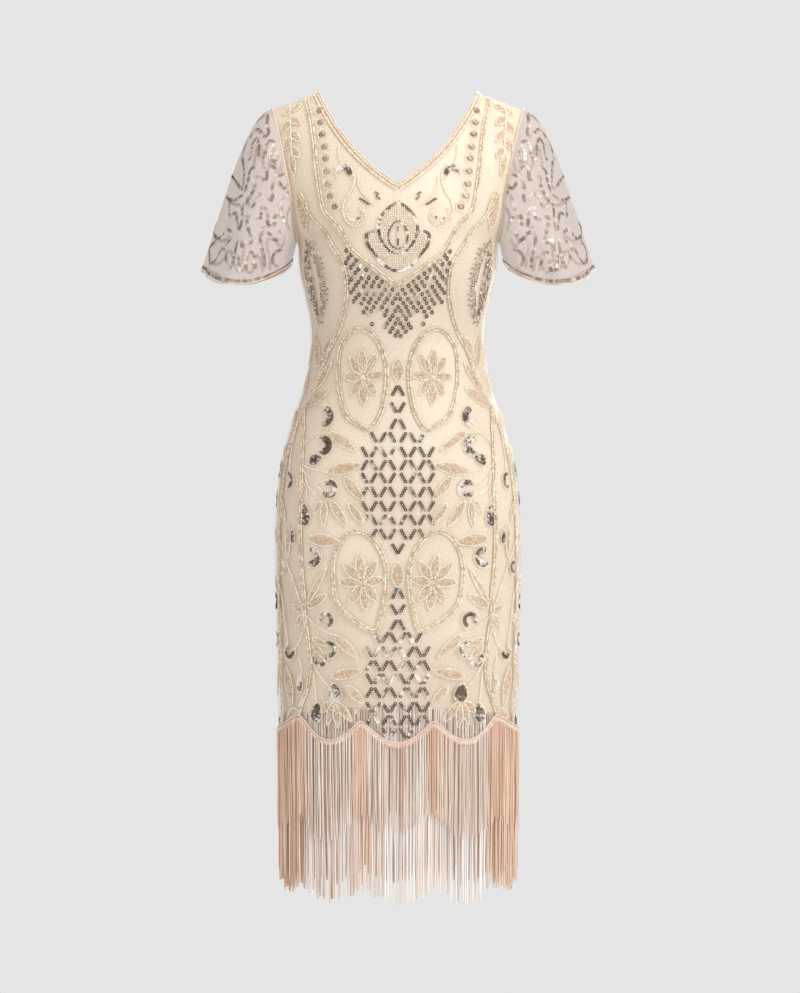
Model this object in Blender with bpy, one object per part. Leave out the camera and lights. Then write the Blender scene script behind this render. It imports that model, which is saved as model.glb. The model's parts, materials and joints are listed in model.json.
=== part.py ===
"""A knee-length dress with a beaded net overlay, a plain lining, sheer bell sleeves and two rows of fringe.

The dress keeps the hollow form of its wearer. X runs across the shoulders, -Y is the front and +Z is up.
The origin lies between the two shoulder seams, level with their neck ends, where the wearer's shoulders
carry the dress. Every size is in metres.
"""

import math
import random
from collections import namedtuple
from functools import lru_cache

import bmesh
import bpy
import numpy as np
from mathutils import Vector

# Cloth and seams
NET_WALL = 0.0010
LINING_WALL = 0.0010
SLEEVE_WALL = 0.0010
LINING_AIR = 0.0016
UNDERARM_AIR = 0.0022
SEAM_GAP = 0.0003
LYING_GAP = 0.0005

# Shoulders and armholes
SHOULDER_NECK_X = 0.117
SHOULDER_TIP_X = 0.185
SHOULDER_DROP = 0.024
RIDGE_Y = 0.008
ARMPIT_HEIGHT = -0.222

# Neckline, the same V in front and behind but for how far it is cut out
NECK_DROP = {"front": 0.1495, "back": 0.163}
NECK_BOW = {"front": (0.080, -0.098), "back": (0.091, -0.112)}
NECK_BINDING_WIDTH = 0.0075
NECK_BINDING_THICKNESS = 0.0012
NECK_BINDING_TOP_LEVEL = 2.992

# Hem of the net overlay: eight scallops round the skirt, cut a little higher at the side seams
SCALLOPS_PER_QUARTER = 2
SCALLOP_TOP_HEIGHT = -0.930
SCALLOP_DEPTH = 0.036
SCALLOP_TOP_ROUNDING = 0.02
HEM_SIDE_RISE = 0.012
FAN_HEIGHT = -0.870
HEM_QUARTER_GIRTH = 0.236

# Hem of the lining, a little lower at the sides
LINING_HEM_HEIGHT = -0.897
LINING_SIDE_DROP = 0.018

# Fringe
HEADER_WIDTH = 0.0070
HEADER_THICKNESS = 0.0020
HEADER_PAST_EDGE = 0.0015
OUTER_STRANDS = 96
INNER_STRANDS = 80
STRAND_SHARE = 0.44
STRAND_TIP_SCALE = 0.72
OUTER_FRINGE_LENGTH = 0.124
INNER_FRINGE_TIP_HEIGHT = -1.168
INNER_FRINGE_SCALLOP = 0.031
RAGGED_END = 0.007
SWAY = 0.0012

# Sleeve hem
SLEEVE_HEM_CENTRE_X = 0.2245
SLEEVE_HEM_HALF_WIDTH = 0.0675
SLEEVE_HEM_HALF_DEPTH = 0.094
SLEEVE_HEM_HEIGHT = -0.2555
SLEEVE_HEM_TILT = 0.0075
SLEEVE_HEM_DIP = 0.0275
SLEEVE_CAP_BULGE = 0.018
SLEEVE_SIDE_BULGE = 0.007
SLEEVE_BAND_WIDTH = 0.0065
SLEEVE_BAND_THICKNESS = 0.0010

# How finely each cloth is divided
NET_COLUMNS = 16
LINING_COLUMNS = 8
SLEEVE_COLUMNS = 28
SLEEVE_ROWS = 7
CURVE_SAMPLES = 140

# Rows of the body cloth: heights below the armpits, then shares of the way up the straps
LOWER_ROWS = (-0.79, -0.69, -0.60, -0.53, -0.47, -0.42, -0.37, -0.32, -0.27)
STRAP_ROWS = (0.08, 0.18, 0.30, 0.43, 0.57, 0.71, 0.86, 1.0)

# The body that the cloth hangs on, one row for each level
Level = namedtuple("Level", "height half_width front_depth back_depth squareness")
BODY = [
    Level(-0.990, 0.1740, 0.118, 0.118, 2.30),
    Level(-0.900, 0.1757, 0.118, 0.118, 2.30),
    Level(-0.800, 0.1785, 0.117, 0.120, 2.30),
    Level(-0.720, 0.1808, 0.116, 0.124, 2.35),
    Level(-0.640, 0.1812, 0.114, 0.129, 2.35),
    Level(-0.580, 0.1775, 0.112, 0.129, 2.30),
    Level(-0.530, 0.1690, 0.109, 0.122, 2.30),
    Level(-0.490, 0.1575, 0.106, 0.112, 2.25),
    Level(-0.450, 0.1440, 0.103, 0.100, 2.20),
    Level(-0.410, 0.1335, 0.100, 0.090, 2.20),
    Level(-0.372, 0.1290, 0.100, 0.086, 2.20),
    Level(-0.335, 0.1310, 0.112, 0.090, 2.20),
    Level(-0.300, 0.1385, 0.129, 0.096, 2.25),
    Level(-0.265, 0.1460, 0.139, 0.101, 2.30),
    Level(-0.222, 0.1500, 0.138, 0.105, 2.30),
    Level(-0.205, 0.1610, 0.136, 0.106, 2.30),
    Level(-0.170, 0.1790, 0.130, 0.107, 2.30),
    Level(-0.120, 0.1960, 0.124, 0.106, 2.30),
    Level(-0.060, 0.2080, 0.120, 0.102, 2.30),
    Level(0.060, 0.2150, 0.118, 0.098, 2.30),
]

# Armhole edge seen from the front
ArmholePoint = namedtuple("ArmholePoint", "height x")
ARMHOLE = [
    ArmholePoint(-0.222, 0.1500),
    ArmholePoint(-0.207, 0.1515),
    ArmholePoint(-0.145, 0.1580),
    ArmholePoint(-0.115, 0.1638),
    ArmholePoint(-0.071, 0.1727),
    ArmholePoint(-0.024, 0.1850),
]

# Soft upright folds of the skirt. A place is a count of quarter girths from the centre front: 1 is the
# wearer's left side seam, -1 the right one and 2 the centre back. A depth above 0 stands out.
SkirtFold = namedtuple("SkirtFold", "place depth half_width top")
SKIRT_FOLDS = [
    SkirtFold(-0.86, 0.0030, 0.10, -0.56),
    SkirtFold(-0.56, -0.0026, 0.10, -0.62),
    SkirtFold(-0.27, 0.0024, 0.10, -0.66),
    SkirtFold(0.04, -0.0018, 0.12, -0.72),
    SkirtFold(0.31, 0.0026, 0.10, -0.64),
    SkirtFold(0.60, -0.0022, 0.09, -0.70),
    SkirtFold(0.88, 0.0028, 0.10, -0.58),
    SkirtFold(1.22, -0.0028, 0.11, -0.62),
    SkirtFold(1.52, 0.0030, 0.10, -0.66),
    SkirtFold(1.83, -0.0026, 0.10, -0.60),
    SkirtFold(2.12, 0.0028, 0.11, -0.64),
    SkirtFold(2.44, -0.0030, 0.10, -0.62),
    SkirtFold(2.76, 0.0026, 0.10, -0.66),
]

FOLD_START = max(fold.top for fold in SKIRT_FOLDS)
DEEPEST_FOLD = max(-fold.depth for fold in SKIRT_FOLDS)

# Flutes of the sleeve. A place is an angle in degrees from the shoulder, round by the front.
SleeveFlute = namedtuple("SleeveFlute", "place depth half_width")
SLEEVE_FLUTES = [
    SleeveFlute(22, -0.0050, 16),
    SleeveFlute(72, 0.0085, 14),
    SleeveFlute(104, -0.0060, 16),
    SleeveFlute(140, 0.0040, 16),
    SleeveFlute(215, 0.0050, 18),
    SleeveFlute(252, -0.0065, 15),
    SleeveFlute(284, 0.0075, 14),
    SleeveFlute(322, -0.0050, 16),
]

Finish = namedtuple("Finish", "colour roughness")
FINISHES = {
    "net": Finish((0.83, 0.74, 0.58), 0.62),
    "lining": Finish((0.86, 0.77, 0.62), 0.55),
    "sleeve": Finish((0.80, 0.72, 0.68), 0.60),
    "binding": Finish((0.85, 0.71, 0.52), 0.48),
    "fringe": Finish((0.84, 0.62, 0.47), 0.45),
}


def clear_scene():
    for thing in list(bpy.data.objects):
        bpy.data.objects.remove(thing)


def material(name):
    made = bpy.data.materials.get(name) or bpy.data.materials.new(name)
    made.use_nodes = True
    shader = made.node_tree.nodes["Principled BSDF"]
    finish = FINISHES[name]
    shader.inputs["Base Color"].default_value = (*finish.colour, 1.0)
    shader.inputs["Roughness"].default_value = finish.roughness
    shader.inputs["Metallic"].default_value = 0.0
    return made


def add_object(name, mesh, finish):
    mesh.shade_smooth()
    mesh.materials.append(material(finish))
    thing = bpy.data.objects.new(name, mesh)
    bpy.context.scene.collection.objects.link(thing)
    return thing


def double_skin(name, faces, outer, inner, finish):
    """Makes a closed wall from the faces of its outer side and a point of each side for every corner."""
    mesh = bmesh.new()
    outside = {key: mesh.verts.new(point) for key, point in outer.items()}
    inside = {key: mesh.verts.new(point) for key, point in inner.items()}
    edges = {(a, b) for face in faces for a, b in zip(face, face[1:] + face[:1])}
    for face in faces:
        mesh.faces.new([outside[key] for key in face])
        mesh.faces.new([inside[key] for key in reversed(face)])
    for a, b in edges:
        if (b, a) not in edges:
            mesh.faces.new((outside[b], outside[a], inside[a], inside[b]))
    wall = bpy.data.meshes.new(name)
    mesh.to_mesh(wall)
    mesh.free()
    return add_object(name, wall, finish)


# The body surface


def smooth_value(rows, height, column):
    """Reads a column of a table at a height between its rows, on a cubic curve through them."""
    heights = [row[0] for row in rows]
    values = [row[column] for row in rows]
    last = len(rows) - 1
    height = min(max(height, heights[0]), heights[last])
    i = min(max(np.searchsorted(heights, height) - 1, 0), last - 1)

    def slope(k):
        low, high = max(k - 1, 0), min(k + 1, last)
        return (values[high] - values[low]) / (heights[high] - heights[low])

    span = heights[i + 1] - heights[i]
    t = (height - heights[i]) / span
    return (
        (2 * t**3 - 3 * t**2 + 1) * values[i]
        + (t**3 - 2 * t**2 + t) * span * slope(i)
        + (3 * t**2 - 2 * t**3) * values[i + 1]
        + (t**3 - t**2) * span * slope(i + 1)
    )


def body_level(height):
    return Level(height, *(smooth_value(BODY, height, column) for column in range(1, 5)))


def ridge_height(x):
    """Height of the shoulder line over a distance from the centre."""
    slope = SHOULDER_DROP / (SHOULDER_TIP_X - SHOULDER_NECK_X)
    return (SHOULDER_NECK_X - x) * slope


def armhole_x(height):
    return smooth_value(ARMHOLE, height, 1)


def neckline_point(face, along):
    """A point of the neckline seen from the front, from the V's point at 0 to the shoulder seam at 1."""
    point = (0.0, -NECK_DROP[face])
    bow = NECK_BOW[face]
    top = (SHOULDER_NECK_X, 0.0)
    weights = ((1 - along) ** 2, 2 * along * (1 - along), along**2)
    return tuple(sum(w * p[i] for w, p in zip(weights, (point, bow, top))) for i in (0, 1))


def neckline_x(face, height):
    if height <= -NECK_DROP[face]:
        return 0.0
    low, high = 0.0, 1.0
    for _ in range(40):
        middle = (low + high) / 2
        if neckline_point(face, middle)[1] < height:
            low = middle
        else:
            high = middle
    return neckline_point(face, high)[0]


def chest_y(face, x, height):
    """Depth of the cloth over the chest or the shoulder blades, closing over the shoulder's ridge."""
    level = body_level(height)
    depth = level.front_depth if face == "front" else level.back_depth
    depth *= max(0.0, 1 - (x / level.half_width) ** level.squareness) ** (1 / level.squareness)
    rise = (height - ARMPIT_HEIGHT) / (ridge_height(x) - ARMPIT_HEIGHT)
    rise = min(max(rise, 0.0), 1.0)
    power = 2.0 if face == "front" else 2.5
    depth *= (1 - rise**power) ** 0.5
    return RIDGE_Y * rise + (-depth if face == "front" else depth)


def fold_height(quarters, height):
    """How far the skirt stands out at a place, counted in quarter girths from the centre front."""
    total = 0.0
    for fold in SKIRT_FOLDS:
        away = (quarters - fold.place + 2) % 4 - 2
        grown = min(max((fold.top - height) / (fold.top - SCALLOP_TOP_HEIGHT), 0.0), 1.0)
        total += fold.depth * math.exp(-((away / fold.half_width) ** 2)) * grown**1.3
    return total


def lining_drawn_in(height):
    """The lining has no folds, so it hangs clear of those that reach inwards."""
    grown = min(max((FOLD_START - height) / (FOLD_START - SCALLOP_TOP_HEIGHT), 0.0), 1.0)
    return DEEPEST_FOLD * grown


def along_curve(curve, share):
    """The point and the direction at a share of a curve's length."""
    steps = np.linalg.norm(np.diff(curve, axis=0), axis=1)
    reached = np.concatenate([[0.0], np.cumsum(steps)])
    reached /= reached[-1]
    point = np.array([np.interp(share, reached, curve[:, i]) for i in range(3)])
    near = 0.004
    before = np.array([np.interp(max(share - near, 0), reached, curve[:, i]) for i in range(3)])
    after = np.array([np.interp(min(share + near, 1), reached, curve[:, i]) for i in range(3)])
    return point, after - before


@lru_cache(maxsize=None)
def skirt_curve(face, height):
    """Half a level section below the armpits, from the centre to the side seam."""
    level = body_level(height)
    depth = level.front_depth if face == "front" else level.back_depth
    angle = np.linspace(0, math.pi / 2, CURVE_SAMPLES)
    x = level.half_width * np.sin(angle) ** (2 / level.squareness)
    y = depth * np.cos(angle) ** (2 / level.squareness)
    toward = -1 if face == "front" else 1
    return np.stack([x, toward * y, np.full_like(x, height)], axis=1)


def skirt_point(face, side, share, height, cloth="net"):
    """The cloth below the armpits. Share runs from the centre, 0, to the side seam, 1."""
    point, tangent = along_curve(skirt_curve(face, height), share)
    toward = -1 if face == "front" else 1
    outward = np.array([-toward * tangent[1], toward * tangent[0], 0.0])
    outward /= np.linalg.norm(outward)
    if cloth == "net":
        quarters = side * (share if face == "front" else 2 - share)
        point = point + outward * fold_height(quarters, height)
    else:
        point = point - outward * lining_drawn_in(height)
    return Vector((side * point[0], point[1], point[2]))


@lru_cache(maxsize=None)
def yoke_curve(face, sweep):
    """Half a row of the cloth above the armpits, from the neckline to the armhole."""
    rise = math.sin(sweep * math.pi / 2)

    def row_height(x):
        return ARMPIT_HEIGHT + rise * (ridge_height(x) - ARMPIT_HEIGHT)

    inner, outer = 0.0, 0.15
    for _ in range(12):
        inner = neckline_x(face, row_height(inner))
        outer = armhole_x(row_height(outer))
    x = inner + (outer - inner) * np.sin(np.linspace(0, math.pi / 2, CURVE_SAMPLES))
    return np.array([(v, chest_y(face, v, row_height(v)), row_height(v)) for v in x])


def yoke_point(face, side, share, sweep):
    """The cloth above the armpits. Sweep runs from the armpits' level, 0, to the shoulder seam, 1."""
    point, _ = along_curve(yoke_curve(face, sweep), share)
    return Vector((side * point[0], point[1], point[2]))


def scallop_height(share):
    """Height of the overlay's hem between the centre, 0, and a side seam, 1."""
    wave = math.cos(math.pi * SCALLOPS_PER_QUARTER * share) ** 2
    lowest = math.sqrt(1 + SCALLOP_TOP_ROUNDING) - math.sqrt(SCALLOP_TOP_ROUNDING)
    rounded = (math.sqrt(wave + SCALLOP_TOP_ROUNDING) - math.sqrt(SCALLOP_TOP_ROUNDING)) / lowest
    return SCALLOP_TOP_HEIGHT + HEM_SIDE_RISE * share**2 - SCALLOP_DEPTH * rounded


def lining_height(share):
    return LINING_HEM_HEIGHT - LINING_SIDE_DROP * math.sin(min(share, 1) * math.pi / 2) ** 2


HEMS = {"net": scallop_height, "lining": lining_height}


def cloth_point(face, side, share, level, cloth="net"):
    """A point of the dress. Level 0 is the hem, 1 the end of its shaping, 2 the armpits, 3 the shoulders."""
    if level > 2:
        return yoke_point(face, side, share, level - 2)
    if level > 1:
        height = FAN_HEIGHT + (ARMPIT_HEIGHT - FAN_HEIGHT) * (level - 1)
    else:
        edge = HEMS[cloth](share)
        height = edge + (FAN_HEIGHT - edge) * level
    return skirt_point(face, side, share, height, cloth)


def outward_at(place, share, level, step=0.01):
    """Unit normal of a surface that is a function of share and level, pointing away from the wearer."""
    a = place(min(share + step, 1), level) - place(max(share - step, 0), level)
    b = place(share, level + step) - place(share, level - step)
    normal = a.cross(b).normalized()
    point = place(share, level)
    away = Vector((point.x, point.y, 0.0))
    return normal if normal.dot(away) > 0 else -normal


def cloth_normal(face, side, share, level, cloth="net"):
    level = min(max(level, 0.011), 2.985)
    return outward_at(lambda s, v: cloth_point(face, side, s, v, cloth), share, level)


def neck_level(face):
    """The level of the row whose centre is the V's point."""
    rise = (-NECK_DROP[face] - ARMPIT_HEIGHT) / (ridge_height(0.0) - ARMPIT_HEIGHT)
    return 2 + math.asin(rise) / (math.pi / 2)


def cloth_levels(face):
    fan = [0.0, 0.5, 1.0]
    lower = [1 + (height - FAN_HEIGHT) / (ARMPIT_HEIGHT - FAN_HEIGHT) for height in LOWER_ROWS]
    point = neck_level(face)
    chest = [2.0, 2.025, 2.08, point]
    return fan + lower + chest + [point + (3 - point) * part for part in STRAP_ROWS]


# The cloth panels


def beside_seam(face, point, row_kind):
    """Keeps a panel's side and shoulder edges a hair away from the panel it is sewn to."""
    toward = -1 if face == "front" else 1
    point = point.copy()
    point.y += toward * SEAM_GAP / 2
    if row_kind == "side":
        point.y = toward * SEAM_GAP / 2
    if row_kind == "shoulder":
        point.y = RIDGE_Y + toward * SEAM_GAP / 2
    return point


def underarm_air(share, level):
    """The lining stands a little further in where the armhole begins."""
    return UNDERARM_AIR * share**2 * math.exp(-(((level - 2.015) / 0.03) ** 2))


def build_panel(name, face, columns, inward, thickness, cloth):
    """One face of the dress, moved inwards from the overlay's outer side and given a wall."""
    levels = cloth_levels(face)
    opens_above = neck_level(face)
    outer, inner, faces = {}, {}, []
    toward = -1 if face == "front" else 1

    def corner(row, column, side):
        level = levels[row]
        shared = column == 0 and level <= opens_above + 1e-6
        key = (row, column, 0 if shared else side)
        if key not in outer:
            share = column / columns
            point = cloth_point(face, side, share, level, cloth)
            normal = cloth_normal(face, side, share, level, cloth)
            kind = "inside"
            if column == columns and level <= 2:
                kind = "side"
            if row == len(levels) - 1:
                kind = "shoulder"
            start = inward + (underarm_air(share, level) if cloth == "lining" else 0.0)
            for skin, depth in ((outer, start), (inner, start + thickness)):
                moved = beside_seam(face, point - normal * depth, kind)
                if shared:
                    moved.x = 0.0
                skin[key] = moved
        return key

    for row in range(len(levels) - 1):
        for side in (-1, 1):
            for column in range(columns):
                quad = (
                    corner(row, column, side),
                    corner(row, column + 1, side),
                    corner(row + 1, column + 1, side),
                    corner(row + 1, column, side),
                )
                faces.append(quad if side * toward < 0 else quad[::-1])
    double_skin(name, faces, outer, inner, cloth)


def build_overlay(face):
    build_panel(f"{face}_overlay", face, NET_COLUMNS, 0.0, NET_WALL, "net")


def build_lining(face):
    inward = NET_WALL + LINING_AIR
    build_panel(f"{face}_lining", face, LINING_COLUMNS, inward, LINING_WALL, "lining")


def build_neck_binding(face):
    """A flat strip on the overlay along the V, mitred at its point."""
    rows = [level for level in cloth_levels(face) if level >= neck_level(face)]
    levels = []
    for low, high in zip(rows, rows[1:]):
        levels += [low, (low + high) / 2]
    levels.append(NECK_BINDING_TOP_LEVEL)
    outer, inner, faces = {}, {}, []
    toward = -1 if face == "front" else 1

    def add(key, side, share, level):
        point = cloth_point(face, side, share, level)
        normal = cloth_normal(face, side, share, level)
        for skin, lift in ((inner, LYING_GAP), (outer, LYING_GAP + NECK_BINDING_THICKNESS)):
            moved = beside_seam(face, point + normal * lift, "inside")
            if key[0] == 0:
                moved.x = 0.0
            skin[key] = moved
        return key

    def corner(row, across, side):
        level = levels[row]
        if row == 0:
            edge = cloth_point(face, 1, 0.0, level)
            along = (cloth_point(face, 1, 0.0, level + 0.02) - edge).normalized()
            drop = NECK_BINDING_WIDTH / along.x
            per_level = (edge.z - ARMPIT_HEIGHT) / (level - 2.0)
            return add((0, across, 0), 1, 0.0, level - drop * across / 2 / per_level)
        edge = cloth_point(face, side, 0.0, level)
        beside = cloth_point(face, side, 0.05, level) - edge
        along = cloth_point(face, side, 0.0, level - 0.01) - edge
        slant = beside.normalized().cross(along.normalized()).length
        share = 0.05 * NECK_BINDING_WIDTH / slant / beside.length
        return add((row, across, side), side, share * across / 2, level)

    for row in range(len(levels) - 1):
        for side in (-1, 1):
            for across in range(2):
                quad = (
                    corner(row, across, side),
                    corner(row, across + 1, side),
                    corner(row + 1, across + 1, side),
                    corner(row + 1, across, side),
                )
                faces.append(quad if side * toward < 0 else quad[::-1])
    double_skin(f"{face}_neck_binding", faces, outer, inner, "binding")


# Sleeves


def armhole_point(side, angle):
    """The armhole's edge. Angle 0 is the shoulder, a quarter turn the front, half a turn the armpit."""
    top, bottom = ridge_height(SHOULDER_TIP_X), ARMPIT_HEIGHT
    height = (top + bottom) / 2 + (top - bottom) / 2 * math.cos(angle)
    x = armhole_x(height)
    face = "front" if math.sin(angle) >= 0 else "back"
    return Vector((side * x, chest_y(face, x, height), height))


def sleeve_hem_point(side, angle):
    x = SLEEVE_HEM_CENTRE_X + SLEEVE_HEM_HALF_WIDTH * math.cos(angle)
    y = RIDGE_Y - SLEEVE_HEM_HALF_DEPTH * math.sin(angle)
    dip = SLEEVE_HEM_DIP * abs(math.sin(angle)) ** 1.5
    return Vector((side * x, y, SLEEVE_HEM_HEIGHT - SLEEVE_HEM_TILT * math.cos(angle) - dip))


def flute_height(angle):
    degrees = math.degrees(angle) % 360
    total = 0.0
    for flute in SLEEVE_FLUTES:
        away = (degrees - flute.place + 180) % 360 - 180
        total += flute.depth * math.exp(-((away / flute.half_width) ** 2))
    return total


def sleeve_point(side, angle, down):
    """A point of the sleeve's outer side. Down runs from the armhole, 0, to the hem, 1."""
    start, end = armhole_point(side, angle), sleeve_hem_point(side, angle)
    fall = end - start
    start = start + fall.normalized() * SEAM_GAP / 2 + Vector((side * SEAM_GAP, 0, 0))
    point = start.lerp(end, down)
    away = Vector((side * max(math.cos(angle), -0.15), -math.sin(angle), 0.0)).normalized()
    top_share = 0.5 + 0.5 * math.cos(angle)
    cap = SLEEVE_CAP_BULGE * top_share * math.sin(math.pi * down**0.45)
    sides = SLEEVE_SIDE_BULGE * abs(math.sin(angle)) * math.sin(math.pi * down**0.7)
    return point + away * (cap + sides + flute_height(angle) * down**1.6)


def sleeve_outward(side, angle, down):
    step = 0.02
    around = sleeve_point(side, angle + step, down) - sleeve_point(side, angle - step, down)
    low, high = min(down + step, 1.0), max(down - step, 0.0)
    along = sleeve_point(side, angle, low) - sleeve_point(side, angle, high)
    normal = around.cross(along).normalized()
    away = Vector((side * math.cos(angle), -math.sin(angle), 0.0))
    return normal if normal.dot(away) > 0 else -normal


def build_tube(name, side, rows, low, high, finish):
    """A wall round an arm. Each row gives how far down the sleeve it lies at every angle."""
    outer, inner, faces = {}, {}, []
    for k, row in enumerate(rows):
        for i, down in enumerate(row):
            angle = 2 * math.pi * i / SLEEVE_COLUMNS
            point = sleeve_point(side, angle, down)
            normal = sleeve_outward(side, angle, down)
            outer[k, i] = point + normal * high
            inner[k, i] = point + normal * low
    for k in range(len(rows) - 1):
        for i in range(SLEEVE_COLUMNS):
            j = (i + 1) % SLEEVE_COLUMNS
            quad = ((k, i), (k + 1, i), (k + 1, j), (k, j))
            faces.append(quad if side < 0 else quad[::-1])
    double_skin(name, faces, outer, inner, finish)


def build_sleeve(name, side):
    downs = [(k / SLEEVE_ROWS) ** 1.15 for k in range(SLEEVE_ROWS + 1)]
    rows = [[down] * SLEEVE_COLUMNS for down in downs]
    build_tube(f"{name}_sleeve", side, rows, -SLEEVE_WALL, 0.0, "sleeve")
    band_top = []
    for i in range(SLEEVE_COLUMNS):
        angle = 2 * math.pi * i / SLEEVE_COLUMNS
        length = (sleeve_hem_point(side, angle) - armhole_point(side, angle)).length
        band_top.append(1 - SLEEVE_BAND_WIDTH / length)
    rows = [band_top, [1.0] * SLEEVE_COLUMNS]
    build_tube(
        f"{name}_sleeve_band", side, rows, LYING_GAP, LYING_GAP + SLEEVE_BAND_THICKNESS, "binding"
    )


# Fringe


def ring_point(quarters, height, outward, cloth):
    """A point beside a cloth, counted round the skirt in quarter girths from the centre front towards +X."""
    quarters %= 4
    face = "front" if quarters <= 1 or quarters >= 3 else "back"
    side = 1 if quarters <= 2 else -1
    turned = quarters if quarters <= 2 else 4 - quarters
    share = turned if face == "front" else 2 - turned
    point = skirt_point(face, side, share, height, cloth)
    ahead = skirt_point(face, side, max(share - 0.01, 0.0), height, cloth)
    behind = skirt_point(face, side, min(share + 0.01, 1.0), height, cloth)
    tangent = behind - ahead
    normal = Vector((tangent.y, -tangent.x, 0.0)).normalized()
    if normal.dot(Vector((point.x, point.y, 0.0))) < 0:
        normal = -normal
    return point + normal * outward


def share_of(quarters):
    quarters %= 4
    turned = quarters if quarters <= 2 else 4 - quarters
    return turned if turned <= 1 else 2 - turned


def scallop_slope(share):
    step = 0.01
    rise = scallop_height(share + step) - scallop_height(share - step)
    return rise / (2 * step * HEM_QUARTER_GIRTH)


def build_fringe(name, strands, cloth, top_at, bottom_at, tip_at, faces, bends, sway_out, seed):
    """A closed header strip whose underside grows into hanging strands, all in one piece.

    Faces gives how far the strip's two sides lie outside the cloth's own outer side.
    """
    chance = random.Random(seed)
    mesh = bmesh.new()
    rings = {"outer_top": [], "inner_top": [], "inner_low": [], "outer_low": []}
    middles = [4 * (k + 0.5) / strands for k in range(strands)]
    reach = 2 * STRAND_SHARE / strands
    places = [place for middle in middles for place in (middle - reach, middle + reach)]
    for place in places:
        top, low = top_at(place), bottom_at(place)
        rings["outer_top"].append(mesh.verts.new(ring_point(place, top, faces[1], cloth)))
        rings["inner_top"].append(mesh.verts.new(ring_point(place, top, faces[0], cloth)))
        rings["inner_low"].append(mesh.verts.new(ring_point(place, low, faces[0], cloth)))
        rings["outer_low"].append(mesh.verts.new(ring_point(place, low, faces[1], cloth)))
    order = list(rings.values())
    roots = []
    for i in range(len(places)):
        j = (i + 1) % len(places)
        for ring, following in zip(order, order[1:] + order[:1]):
            face = mesh.faces.new((ring[i], following[i], following[j], ring[j]))
            if ring is rings["inner_low"] and i % 2 == 0:
                roots.append(face)
    bmesh.ops.recalc_face_normals(mesh, faces=mesh.faces)
    for root, middle in zip(roots, middles):
        tip = tip_at(middle) + chance.uniform(-RAGGED_END, RAGGED_END)
        grow_strand(mesh, root, tip, bends, sway_out, chance)
    fringe = bpy.data.meshes.new(name)
    mesh.to_mesh(fringe)
    mesh.free()
    add_object(name, fringe, "fringe")


def grow_strand(mesh, root, tip, bends, sway_out, chance):
    """Extrudes one strand from its root face down to its tip, with a bend at each share of its length."""
    middle = root.calc_center_median()
    outward = Vector((middle.x, middle.y, 0.0)).normalized()
    sideways = Vector((-outward.y, outward.x, 0.0))
    drift = sideways * chance.uniform(-SWAY, SWAY) + outward * sway_out * chance.uniform(0.1, 1.0)
    corners = [vert.co - middle for vert in root.verts]
    face = root
    for part in (*bends, 1.0):
        face = bmesh.ops.extrude_discrete_faces(mesh, faces=[face])["faces"][0]
        scale = 1 - (1 - STRAND_TIP_SCALE) * part
        for vert, corner in zip(face.verts, corners):
            vert.co = middle + corner * scale + drift * part
            vert.co.z = middle.z + (tip - middle.z) * part


def build_outer_fringe():
    def slanted(place):
        return math.sqrt(1 + scallop_slope(share_of(place)) ** 2)

    def low(place):
        return scallop_height(share_of(place)) - HEADER_PAST_EDGE

    def top(place):
        return low(place) + HEADER_WIDTH * slanted(place)

    def tip(place):
        return low(place) - OUTER_FRINGE_LENGTH

    faces = (LYING_GAP, LYING_GAP + HEADER_THICKNESS)
    build_fringe("outer_fringe", OUTER_STRANDS, "net", top, low, tip, faces, (0.4,), SWAY, 11)


def build_inner_fringe():
    def top(place):
        return lining_height(share_of(place)) - SEAM_GAP

    def low(place):
        return top(place) - HEADER_WIDTH

    def tip(place):
        wave = abs(math.cos(math.pi * SCALLOPS_PER_QUARTER * share_of(place)))
        return INNER_FRINGE_TIP_HEIGHT - INNER_FRINGE_SCALLOP * wave

    outer_face = -(NET_WALL + LINING_AIR)
    faces = (outer_face - HEADER_THICKNESS, outer_face)
    build_fringe("inner_fringe", INNER_STRANDS, "lining", top, low, tip, faces, (), -SWAY, 23)


def main():
    clear_scene()
    for face in ("front", "back"):
        build_overlay(face)
        build_lining(face)
        build_neck_binding(face)
    build_sleeve("left", 1)
    build_sleeve("right", -1)
    build_outer_fringe()
    build_inner_fringe()


main()
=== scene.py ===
# %% [markdown]
# # A beaded evening dress with a fringed hem
# The dress is made of few pieces of cloth and thousands of small ones sewn on top: beads, sequins and
# strands of yarn. Blender could place each of them by hand or with geometry nodes. Here numpy lays them out
# as rows of numbers, because a bead needs only a place, a direction and a size, and one mesh of many beads
# is light to handle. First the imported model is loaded: its nodes say where each piece of the dress belongs.

import json
import math

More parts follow.
